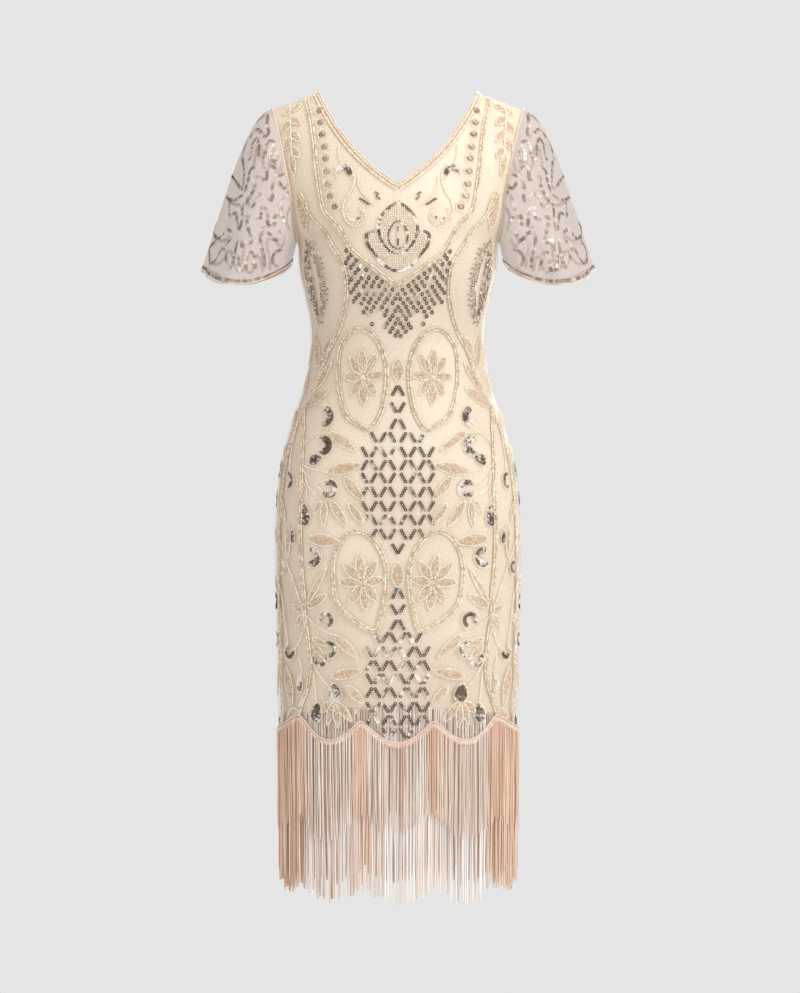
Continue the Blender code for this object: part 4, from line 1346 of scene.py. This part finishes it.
for face in FACES:
    for side in (-1, 1):
        places = mirrored(STONES, side)
        lay_flat(face, "stone", places, 0.3 * side, STONE_SIZE, 0.1)
        for centre in STONES:
            turn = np.linspace(0, 2 * math.pi, 30)
            ring = np.array(centre) + SETTING_RADIUS * np.stack([np.cos(turn), 1.15 * np.sin(turn)], axis=1)
            lay_line(face, ring * (side, 1), "edge", 0.0, SETTING_PITCH, SETTING_BEAD)
        for scroll in SCROLLS:
            lay_line(face, smooth_line(mirrored(scroll, side)))
        lay_flat(face, "sequin", mirrored(LOOSE_SEQUINS, side), 0.8, LOOSE_SEQUIN, 0.2)
        lay_crescent(face, CURL_CENTRE, 8.5, 25, 130, 3.6, side, outline=False)
        for radius in CURL_RADII:
            turn = np.radians(np.linspace(-50, 235, 60))
            curl = np.array(CURL_CENTRE) + radius * np.stack([np.cos(turn), np.sin(turn)], axis=1)
            lay_line(face, curl * (side, 1), "edge", 0.0, CURL_PITCH, CURL_BEAD)
        lay_crescent(face, (79, 132), 9.0, -20, -190, 7.0, side)

# %% Lay the bud
BUD = [(0, 176), (13, 185), (24, 198), (28, 212), (25, 230), (14, 246), (0, 252)]
CUP = [(28, 221), (37, 219), (45, 224), (43, 238), (33, 251), (23, 264), (10, 273), (0, 275)]
INNER_PETAL = [(0, 202), (9, 211), (14, 224), (11, 238), (0, 246)]
MIDDLE_VEIN = [(0, 213), (0, 226), (0, 238)]
BUD_BEAD = (0.0030, 0.0023, 0.0020)


def fill_between(face, shape, hole, step=2.5):
    """Fills the inside of a half shape and its mirror image with beads, row by row."""
    outer, inner = smooth_line(shape), smooth_line(hole)
    for k, down in enumerate(np.arange(outer[:, 1].min() + 3, outer[:, 1].max() - 2, step)):
        reach = np.interp(down, outer[:, 1], outer[:, 0]) - 2.4
        start = 0.0
        if inner[:, 1].min() < down < inner[:, 1].max():
            start = np.interp(down, inner[:, 1], inner[:, 0]) + 2.2
        across = np.arange(start + 0.7 * (k % 2), reach, 3.0)
        for side in (-1, 1):
            if len(across):
                points = np.stack([side * across, np.full_like(across, down)], axis=1)
                lay_flat(face, "edge", points, 0.45 * side, BUD_BEAD, 0.14)


def lay_bud(face):
    for side in (-1, 1):
        for shape in (BUD, CUP, INNER_PETAL):
            line = smooth_line(mirrored(shape, side))
            size = 0.0040 if shape is INNER_PETAL else 0.0050
            lay_line(face, line, "foil", 0.0, 0.0036, (size, size, 0.0042))
    lay_line(face, smooth_line(MIDDLE_VEIN), "foil", 0.0, 0.0031, (0.0040, 0.0036, 0.0036))
    fill_between(face, BUD, INNER_PETAL)
    fill_between(face, CUP, BUD)


for face in FACES:
    lay_bud(face)

# %% Sew the beadwork on
BEAD_FINISHES = {
    "rope": rope_finish,
    "edge": edge_finish,
    "leaf": leaf_finish,
    "stone": stone_finish,
    "sequin": sequin_finish,
    "foil": foil_finish,
    "bugle": bugle_finish,
}
for face in FACES:
    for kind, finish in BEAD_FINISHES.items():
        sew(face, kind, finish, "net")

# %% [markdown]
# ## Beaded edges
# The V neck is bound with a thin peach cord, and rows of beads follow it. A cord is a tube along a line:
# a curve object with a bevel would do, and a ring of points swept along the line does the same in one array.

# %% A tube along a line


def tube(path, out, radius, sides=8, closed=False):
    """Points and quads of a round cord. Out is a direction across the cord at each point."""
    if closed:
        along = unit(np.roll(path, -1, axis=0) - np.roll(path, 1, axis=0))
    else:
        along = unit(np.gradient(path, axis=0))
    side = unit(np.cross(out, along))
    up = np.cross(along, side)
    turn = np.linspace(0, 2 * math.pi, sides, endpoint=False)[None, :, None]
    rings = path[:, None] + radius * (np.cos(turn) * side[:, None] + np.sin(turn) * up[:, None])
    quads = grid_faces(len(path), sides, closed=True)
    if closed:
        last = (len(path) - 1) * sides + np.arange(sides)
        first = np.arange(sides)
        seam = np.stack([last, np.roll(last, -1), np.roll(first, -1), first], axis=1)
        quads = np.concatenate([quads, seam])
    return rings.reshape(-1, 3), quads[:, ::-1]


def join(parts):
    """Joins several (points, faces) pairs into one."""
    points, faces, start = [], [], 0
    for p, f in parts:
        points.append(p)
        faces.append(f + start)
        start += len(p)
    return np.concatenate(points), np.concatenate(faces)


def rows_along(group, path, out, kind, pitch, size, slant=0.0):
    """Copies at equal steps along a line in space."""
    place, along, side, outward = walk(path, out, pitch)
    lay(group, kind, place, slanted(along, side, slant), outward, size)


# %% Neck edge


def neck_line(face, side, inset):
    """A line on the cloth beside the V's edge, with its outward directions. Inset is in metres."""
    x, z = neckline(face, np.linspace(0, 1, 160))
    across, rise = np.gradient(x), np.gradient(z)
    size = np.hypot(across, rise)
    step_x, step_z = rise / size, -across / size
    edge = np.stack([x, chest_y(face, x, z), z], axis=1)
    trial_x, trial_z = x + step_x * 0.002, z + step_z * 0.002
    trial = np.stack([trial_x, chest_y(face, trial_x, trial_z), trial_z], axis=1)
    stretch = np.linalg.norm(trial - edge, axis=1) / 0.002
    x, z = x + step_x * inset / stretch, z + step_z * inset / stretch
    beside = np.stack([x, chest_y(face, x, z), z], axis=1)
    out = unit(np.cross(np.gradient(edge, axis=0), trial - edge))
    out = out * np.sign(out[:, 1:2] * OUTWARD[face] + 0.3 * out[:, 2:3])
    keep = beside[:, 0] > 0.0004
    return (beside * (side, 1, 1))[keep], (out * (side, 1, 1))[keep]


PIPING_LIFT, PIPING_RADIUS, NECK_PITCH = 0.0004, 0.0011, 0.0027
NECK_ROWS = [
    # inset, kind, slant, size
    (0.0028, "rope", 30, (0.0036, 0.0024, 0.0022)),
    (0.0056, "leaf", -30, (0.0032, 0.0017, 0.0014)),
    (0.0080, "rope", 30, (0.0036, 0.0024, 0.0022)),
]
for face in FACES:
    cords = []
    for side in (-1, 1):
        path, out = neck_line(face, side, 0.0)
        cords.append(tube(path + out * PIPING_LIFT, out, PIPING_RADIUS))
        for inset, kind, slant, bead in NECK_ROWS:
            line, outward = neck_line(face, side, inset)
            rows_along(f"{face}_neck", line, outward, kind, NECK_PITCH, bead, slant * side)
    piping = add_piece(f"{face}_neck_piping", *join(cords), piping_finish, "binding")
    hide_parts(f"{face}_neck_binding")
    sew(f"{face}_neck", "rope", edge_finish, "binding")
    sew(f"{face}_neck", "leaf", leaf_finish, "binding")

# %% [markdown]
# ## Sleeve trim
# Each sleeve hangs from a corded seam, ends in a narrow rolled hem and carries loose scribbles of sequins.
# A maker draws such scribbles freely with a needle. Here they are drawn as seen from the front, and each
# point is moved back along the line of sight until it lies on the sleeve. The other sleeve and the backs
# mirror them, the backs more sparsely.

# %% Scribbles of sequins on the sleeve, in millimetres out from the centre and down
SCRIBBLES = [
    [(207, 44), (200, 37), (193, 33), (193, 47), (191, 60), (195, 66), (200, 62), (205, 56), (212, 57),
     (217, 66)],
    [(178, 89), (180, 98), (185, 103), (188, 96), (186, 85), (183, 76), (188, 72), (194, 79), (196, 91),
     (201, 99), (205, 94), (205, 80), (208, 69), (213, 74), (216, 86), (219, 99)],
    [(183, 112), (188, 109), (193, 114), (193, 125), (196, 130), (203, 126)],
    [(209, 113), (215, 112), (219, 121), (221, 133), (225, 146)],
    [(165, 141), (170, 142), (177, 132), (184, 134), (186, 144), (185, 155), (188, 160), (195, 155),
     (201, 151), (209, 155)],
    [(168, 119), (173, 124), (179, 122)],
    [(212, 130), (211, 143), (218, 151), (222, 160), (219, 169), (213, 168), (211, 163)],
    [(161, 147), (168, 157), (172, 168), (172, 178), (169, 189)],
    [(177, 184), (182, 184), (182, 193), (186, 199), (192, 194), (192, 182), (195, 173), (202, 171)],
    [(202, 180), (203, 186), (208, 188)],
    [(219, 184), (223, 185), (221, 198), (218, 210), (216, 219), (220, 223), (228, 218), (230, 232)],
    [(175, 207), (177, 216), (182, 219), (189, 210), (197, 207), (203, 212), (202, 226), (198, 243),
     (197, 257)],
    [(172, 233), (179, 235), (185, 243), (184, 253), (177, 259)],
    [(209, 261), (212, 250), (213, 241), (219, 236), (223, 244), (225, 259), (229, 264), (235, 259),
     (235, 243)],
    [(228, 101), (227, 119), (228, 137), (231, 143), (244, 124)],
    [(230, 153), (240, 159), (247, 159), (253, 155)],
    [(229, 167), (230, 182), (232, 198), (235, 202), (237, 191), (238, 180), (244, 180), (249, 182),
     (248, 166), (245, 160)],
    [(237, 219), (240, 237), (244, 253), (248, 260), (253, 253), (254, 235), (260, 232), (267, 243),
     (274, 253), (279, 248), (276, 230), (271, 218), (270, 200), (267, 194)],
    [(253, 226), (246, 216), (245, 207), (251, 203)],
    [(258, 210), (265, 217), (270, 212)],
    [(223, 73), (228, 89), (230, 100)],
]
CAMERA_DISTANCE = 4.0
SIGHT_FROM = np.array((0.003, -CAMERA_DISTANCE, -0.597))


def seen_from_front(places):
    """Where places appear on the plane through the side seams, seen from the camera's place."""
    nearer = (places[..., 1:2] - SIGHT_FROM[1]) / -SIGHT_FROM[1]
    return SIGHT_FROM[[0, 2]] + (places[..., [0, 2]] - SIGHT_FROM[[0, 2]]) / nearer


GRID_ANGLE, GRID_DOWN = np.meshgrid(np.linspace(0.02, math.pi - 0.02, 420), np.linspace(0.0, 0.97, 260))
SEEN = seen_from_front(sleeve_place(1, GRID_ANGLE, GRID_DOWN)).reshape(-1, 2)


def on_sleeve(points):
    """Finds the angle and the share of the fall for points drawn from the front."""
    target = np.stack([points[:, 0], -points[:, 1]], axis=1) / 1000
    far = np.sum((SEEN[None] - target[:, None]) ** 2, axis=-1)
    best = np.argmin(far, axis=1)
    near = far[np.arange(len(best)), best] < 0.0025**2
    return GRID_ANGLE.ravel()[best][near], GRID_DOWN.ravel()[best][near]


STROKES = [on_sleeve(smooth_line(points, per_span=6)) for points in SCRIBBLES]
print("scribbles on a sleeve's front:", len(STROKES))

# %% Cords and sequins of the sleeves
SMALL_SEQUIN, SMALL_SEQUIN_PITCH = (0.0056, 0.0054, 0.0040), 0.0036
ROLLED_HEM_RADIUS, SEQUIN_LIFT = 0.0010, 0.0003


def sleeve_row(group, side, angle, down):
    point, _, _, out = sleeve_frame(side, angle, down)
    rows_along(group, point + out * SEQUIN_LIFT, out, "foil", SMALL_SEQUIN_PITCH, SMALL_SEQUIN)


for side, name in SLEEVE_NAMES.items():
    group = f"{name}_sleeve"
    turn = np.linspace(0, 2 * math.pi, 240, endpoint=False)
    _, _, _, seam_out = sleeve_frame(side, turn, np.full_like(turn, 0.03))
    seam = armhole_place(side, turn) + (side * 0.0005, 0, 0)
    _, _, _, hem_out = sleeve_frame(side, turn, np.full_like(turn, 0.985))
    hem = sleeve_place(side, turn, 0.997)
    cord = tube(seam + seam_out * PIPING_LIFT, seam_out, PIPING_RADIUS, closed=True)
    add_piece(f"{name}_armhole_piping", *cord, piping_finish, "binding")
    rolled = tube(hem, hem_out, ROLLED_HEM_RADIUS, closed=True)
    rolled_hem = add_piece(f"{name}_sleeve_hem", *rolled, piping_finish, "binding")
    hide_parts(f"{name}_sleeve_band")
    whole = np.linspace(0, 2 * math.pi, 400)
    sleeve_row(group, side, whole, np.full_like(whole, 0.972))
    for stroke, (angle, down) in enumerate(STROKES):
        if len(angle) > 3:
            sleeve_row(group, side, angle, down)
        if len(angle) > 3 and stroke % 2:
            sleeve_row(group, side, -angle, down)
    sew(group, "foil", sleeve_sequin_finish, "sleeve")

# %% [markdown]
# ## Fringe
# Two rows of rayon yarn hang from the hem: a peach one from a braid on the net's scallops, and a longer,
# paler one from the lining's hem. At the sides long peach strands hang between the two. Hair particles
# would render well but leave no mesh to export, so each strand is a thin five-sided tube with its own
# sway, and they gather where two scallops meet.
# Where strands crowd, at the sides and where two scallops meet, they take a deeper peach yarn, which is
# painted shade.

# %% Places round the hem


def round_hem(quarters, height, cloth="net"):
    """Points round the skirt. Quarters run from the centre front over the left side to the back."""
    quarters, height = np.broadcast_arrays(np.asarray(quarters, float) % 4, np.asarray(height, float))
    share = 1 - np.abs(quarters % 2 - 1)
    side = np.where(quarters < 2, 1.0, -1.0)
    ahead = (quarters < 1) | (quarters > 3)
    places = []
    for face in FACES:
        across = side * share * 1000 * half_girth(face, height)
        places.append(cloth_place(face, across, -1000 * height, cloth))
    return np.where(ahead[..., None], places[0], places[1])


def hem_frame(quarters, height, cloth="net"):
    step = 0.004
    place = round_hem(quarters, height, cloth)
    around = unit(round_hem(quarters + step, height, cloth) - round_hem(quarters - step, height, cloth))
    out = unit(np.cross(around, np.broadcast_to((0.0, 0.0, 1.0), around.shape)))
    out = out * np.sign(np.sum(out * place * (1, 1, 0), axis=-1, keepdims=True))
    return place, around, out


def hem_share(quarters):
    return 1 - np.abs(np.asarray(quarters) % 2 - 1)


def net_hem(quarters):
    return scallop_height(hem_share(quarters)) - 0.0015


def lining_hem(quarters):
    return lining_height(hem_share(quarters)) - 0.0003


# %% Braid over the scallops
BRAID_WIDTH, HEM_CORD_RADIUS = 0.0078, 0.0008
BRAID_RIB, BRAID_RIB_PITCH, BRAID_RIB_SLANT = (0.0096, 0.0018, 0.0028), 0.0029, 54
ring = np.linspace(0, 4, 1400, endpoint=False)


def braid_line(rise, lift):
    """A ring that follows the scallops, raised by part of the braid's width."""
    climbed = np.clip((net_hem(ring) - net_hem(0.0)) / SCALLOP_DEPTH, 0, 1)
    height = net_hem(ring) + rise * (1 + 0.4 * climbed)
    place, _, out = hem_frame(ring, height)
    return place + out * lift, out


BRAID_PROFILE = (
    # rise, lift
    (0.0, 0.0004),
    (0.0005, 0.0010),
    (0.004, 0.0012),
    (BRAID_WIDTH, 0.0010),
    (BRAID_WIDTH, 0.0004),
)
strip = [braid_line(rise, lift)[0] for rise, lift in BRAID_PROFILE]
braid_points = np.stack(strip).reshape(-1, 3)
braid_faces = grid_faces(len(strip), len(ring), closed=True)[:, ::-1]
# The darker ground shows between the ribs as painted shade.
braid = add_piece("hem_braid", braid_points, braid_faces, shaded_braid_finish, "fringe")
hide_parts("outer_fringe")
line, out = braid_line(0.0040, 0.0010)
rows_along("braid", line, out, "edge", BRAID_RIB_PITCH, BRAID_RIB, BRAID_RIB_SLANT)
sew("braid", "edge", outer_yarn, "fringe")
path, out = braid_line(BRAID_WIDTH + 0.0004, 0.0012)
add_piece("hem_cord", *tube(path[::2], out[::2], HEM_CORD_RADIUS, closed=True), outer_yarn, "fringe")

# %% Strands


def hang(name, quarters, top, length, lift, radius, finish, cloth, sides=5, steps=12, sway=0.0008):
    """Strands of yarn that hang from places round the hem, each swaying by itself."""
    count = len(quarters)
    place, around, out = hem_frame(quarters, top, cloth)
    t = np.linspace(0, 1, steps + 1)[None, :]
    drift = chance.normal(0, sway, (2, count, 1)) * t**1.4
    phase, turns = chance.uniform(0, 6.28, (2, count, 1)), chance.uniform(0.5, 1.5, (2, count, 1))
    wave = 0.0005 * np.sin(phase + turns * 6.28 * t) * t**0.6
    bend = drift + wave - np.array((0.0, 0.0025))[:, None, None] * t
    path = (place + out * lift)[:, None] - length[:, None, None] * t[..., None] * (0, 0, 1)
    path = path + bend[0][..., None] * around[:, None] + bend[1][..., None] * out[:, None]
    thick = radius[:, None] * (1 + 0.10 * np.sin(phase[1] + 9 * t)) * np.where(t > 0.99, 0.75, 1.0)
    turn = np.linspace(0, 2 * math.pi, sides, endpoint=False)
    ring = np.cos(turn)[:, None] * around[:, None, None] + np.sin(turn)[:, None] * out[:, None, None]
    points = path[:, :, None] + thick[..., None, None] * ring
    quads = grid_faces(steps + 1, sides, closed=True)
    start = (np.arange(count) * (steps + 1) * sides)[:, None, None]
    piece = add_piece(name, points.reshape(-1, 3), (quads[None] + start).reshape(-1, 4), finish, "fringe")
    print(name, count, "strands, longest", round(1000 * float(length.max())), "mm")
    return piece


def crowded(count, pull):
    """Even places round the hem, drawn together towards the points where two scallops meet."""
    even = np.arange(count) * 4 / count + chance.uniform(-0.3, 0.3, count) * 4 / count
    towards = np.where(even % 2 < 1, 1, -1) * np.sin(4 * math.pi * scallop_turn(hem_share(even)))
    return even + pull * towards / (4 * math.pi)


def in_bundle(quarters, half_width):
    """True at the sides and near scallop points, where yarn hangs thick; it gets a deeper peach as painted
    shade.
    """
    share = scallop_turn(hem_share(quarters))
    beside_point = np.abs((share % 0.5) - 0.25) < half_width
    return beside_point | (share > 0.80)


OUTER_LENGTH, RAGGED, STRAND_START = 0.120, 0.0060, 0.0045
OUTER_LAYERS = ((290, 0.0004), (210, 0.0016))
for layer, (count, lift) in enumerate(OUTER_LAYERS):
    at = crowded(count, 0.45)
    # Strands at the sides and scallop points take the deeper peach yarn, a painted shade for crowded yarn.
    painted_shade_part = in_bundle(at + chance.normal(0, 0.02, count), 0.055)
    for part, finish in ((painted_shade_part, shaded_peach_yarn), (~painted_shade_part, outer_yarn)):
        longer = 0.018 * np.clip((hem_share(at[part]) - 0.2) / 0.3, 0, 1)
        length = OUTER_LENGTH + 0.0035 + longer + chance.uniform(-RAGGED, RAGGED, part.sum())
        radius = chance.uniform(0.0007, 0.0010, part.sum())
        name = f"outer_{'peach' if finish is shaded_peach_yarn else 'pale'}_strands_{layer + 1}"
        top = net_hem(at[part]) + STRAND_START
        strands = hang(name, at[part], top, length, lift, radius, finish, "net")
        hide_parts("outer_fringe")

# %% Long strands at the sides
SIDE_COUNT, SIDE_TIP, SIDE_LIFT, SIDE_RADIUS = 150, -1.153, -0.0002, 0.0009
at = np.concatenate([middle + chance.uniform(-0.36, 0.36, SIDE_COUNT // 2) for middle in (1.0, 3.0)])
top = net_hem(at) + STRAND_START
length = top - SIDE_TIP + chance.uniform(-0.012, 0.010, len(at))
radius = np.full(len(at), SIDE_RADIUS)
# The long side strands take the deeper peach yarn too, as painted shade for the crowded yarn at the sides.
strands = hang("side_strands", at, top, length, SIDE_LIFT, radius, shaded_peach_yarn, "net", steps=16)
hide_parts("outer_fringe")

# %% Inner fringe
INNER_COUNT, INNER_TIP, INNER_LIFT = 236, -1.158, -0.0033
at = crowded(INNER_COUNT, 0.12)
depth = 0.024 * np.abs(np.cos(2 * math.pi * scallop_turn(hem_share(at)))) * (1 - 0.7 * hem_share(at) ** 4)
tips = INNER_TIP - depth + chance.uniform(-RAGGED, RAGGED, INNER_COUNT)
# Here too the crowded strands take the deeper peach yarn as painted shade.
painted_shade_part = in_bundle(at + chance.normal(0, 0.02, INNER_COUNT), 0.035)
for part, finish, radius in ((painted_shade_part, shaded_peach_yarn, 0.0012), (~painted_shade_part, inner_yarn, 0.0015)):
    top = lining_hem(at[part])
    radius = radius + chance.uniform(-0.0002, 0.0002, part.sum())
    name = "inner_peach_strands" if finish is shaded_peach_yarn else "inner_pale_strands"
    strands = hang(name, at[part], top, top - tips[part], INNER_LIFT, radius, finish, "lining", steps=16)
    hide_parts("inner_fringe")
header, _, out = hem_frame(ring, lining_hem(ring) + 0.003, "lining")
low, _, _ = hem_frame(ring, lining_hem(ring) - 0.003, "lining")
band = np.stack([header - out * 0.0035, low - out * 0.0032]).reshape(-1, 3)
add_piece("lining_band", band, grid_faces(2, len(ring), closed=True), inner_yarn, "fringe")

# %% [markdown]
# ## What the cloth was cut to
# Net and lining were flat pieces before they were sewn. A front or back panel was cut from a rectangle that
# is as wide as half the hips and as long as the drop from the shoulder to the scallops, less what the neck,
# armholes and waist take away. A sleeve was cut from a band as long as its hem.

# %% [markdown]
# ## Studio
# The photograph's background is one even pale grey, so the floor and the world share it where the camera
# sees them. Reflections and shade come from elsewhere: the world is darker for light that bounces, which
# lets the sequins go dark between the bright flashes of the soft lights.

# Some sequins also carry glints painted into their colour, beside the flashes that the lights make.
# %% Floor and background
PALE_GREY = (0.785, 0.785, 0.785)


def seen_or_lit(tree, seen, lit):
    """Shows one shader to the camera and another to every other ray."""
    light_path = add_node(tree, "ShaderNodeLightPath")
    choose = add_node(tree, "ShaderNodeMixShader")
    wire(tree, light_path, "Is Camera Ray", choose, "Fac")
    tree.links.new(lit, choose.inputs[1])
    tree.links.new(seen, choose.inputs[2])
    return choose.outputs["Shader"]


world = bpy.data.worlds.new("studio")
world.use_nodes = True
sky = world.node_tree
sky.nodes.clear()
seen = add_node(sky, "ShaderNodeBackground", {"Color": (*PALE_GREY, 1), "Strength": 1.0})
lit = add_node(sky, "ShaderNodeBackground", {"Color": (1.0, 0.975, 0.945, 1), "Strength": 0.39})
sky_out = add_node(sky, "ShaderNodeOutputWorld")
both = seen_or_lit(sky, seen.outputs[0], lit.outputs[0])
sky.links.new(both, sky_out.inputs["Surface"])
bpy.context.scene.world = world

floor_finish = bpy.data.materials.new("pale_floor")
floor_finish.use_nodes = True
ground = floor_finish.node_tree
shader = ground.nodes["Principled BSDF"]
shader.inputs["Base Color"].default_value = (*PALE_GREY, 1)
shader.inputs["Roughness"].default_value = 0.9
glow = add_node(ground, "ShaderNodeEmission", {"Color": (*PALE_GREY, 1), "Strength": 1.0})
shown = seen_or_lit(ground, glow.outputs[0], shader.outputs[0])
ground.links.new(shown, ground.nodes["Material Output"].inputs["Surface"])
FLOOR_HEIGHT = -1.335
turn = np.linspace(0, 2 * math.pi, 64, endpoint=False)
rings = [(r * np.cos(turn), r * np.sin(turn), np.full_like(turn, FLOOR_HEIGHT)) for r in (0.01, 2, 9)]
floor_points = np.stack([np.stack(ring, axis=-1) for ring in rings]).reshape(-1, 3)
floor_mesh = bpy.data.meshes.new("floor")
floor_mesh.from_pydata(floor_points.tolist(), [], grid_faces(3, 64, closed=True).tolist())
floor_mesh.materials.append(floor_finish)
floor = bpy.data.objects.new("floor", floor_mesh)
bpy.context.scene.collection.objects.link(floor)
floor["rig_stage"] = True
print("floor at", FLOOR_HEIGHT, "metres")

# %% [markdown]
# ## Lights and camera
# One large soft light stands to the right of the camera and above it, so the right side of the dress is
# bright and the left falls off. A weak one fills from the left, one hangs overhead and one behind outlines
# the fringe. The camera is level with the middle of the dress, and its long lens keeps the sides straight.

# %% Lights
MIDDLE = (0.0, 0.0, -0.6)


def add_light(name, place, size, power, colour):
    lamp = bpy.data.lights.new(name, "AREA")
    lamp.shape, lamp.size, lamp.size_y = "RECTANGLE", size[0], size[1]
    lamp.energy, lamp.color = power, colour
    made = bpy.data.objects.new(name, lamp)
    made.location = place
    made.rotation_euler = (Vector(MIDDLE) - Vector(place)).to_track_quat("-Z", "Y").to_euler()
    bpy.context.scene.collection.objects.link(made)
    made.visible_camera = False
    return made


add_light("key_light", (2.3, -2.6, 0.6), (1.3, 2.0), 76, (1.0, 0.995, 0.985))
add_light("fill_light", (-2.6, -2.2, -0.2), (1.4, 2.0), 24, (0.98, 0.99, 1.0))
add_light("top_light", (0.3, -0.6, 2.0), (1.6, 1.2), 33, (1.0, 0.99, 0.97))
add_light("back_light", (0.9, 2.6, 0.5), (1.6, 1.8), 40, (1.0, 0.99, 0.98))

# %% Camera
SENSOR = 36.0
PHOTO_ROWS, METRES_PER_ROW = 993, 0.001476
camera_data = bpy.data.cameras.new("camera")
camera_data.sensor_width = SENSOR
camera_data.lens = SENSOR * CAMERA_DISTANCE / (PHOTO_ROWS * METRES_PER_ROW)
camera = bpy.data.objects.new("camera", camera_data)
camera.location = SIGHT_FROM.tolist()
camera.rotation_euler = (math.pi / 2, 0, 0)
bpy.context.scene.collection.objects.link(camera)
bpy.context.scene.camera = camera
bpy.context.scene.view_settings.view_transform = "Standard"
print("lens:", round(camera_data.lens, 1), "mm")

# %% [markdown]
# ## Size
# Trim may stand a little proud of the imported model, but the dress must keep its size. How far the low
# and high corners of the box round the dress moved from those of the imported model is printed at the
# end.

# %% Compare the sizes and finish
dressed_low, dressed_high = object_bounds()
for corner, packed, dressed in (("low", packed_low, dressed_low), ("high", packed_high, dressed_high)):
    moved = [round(1000 * (after - before), 1) for before, after in zip(packed, dressed)]
    print(corner, "corner moved, in millimetres:", moved)
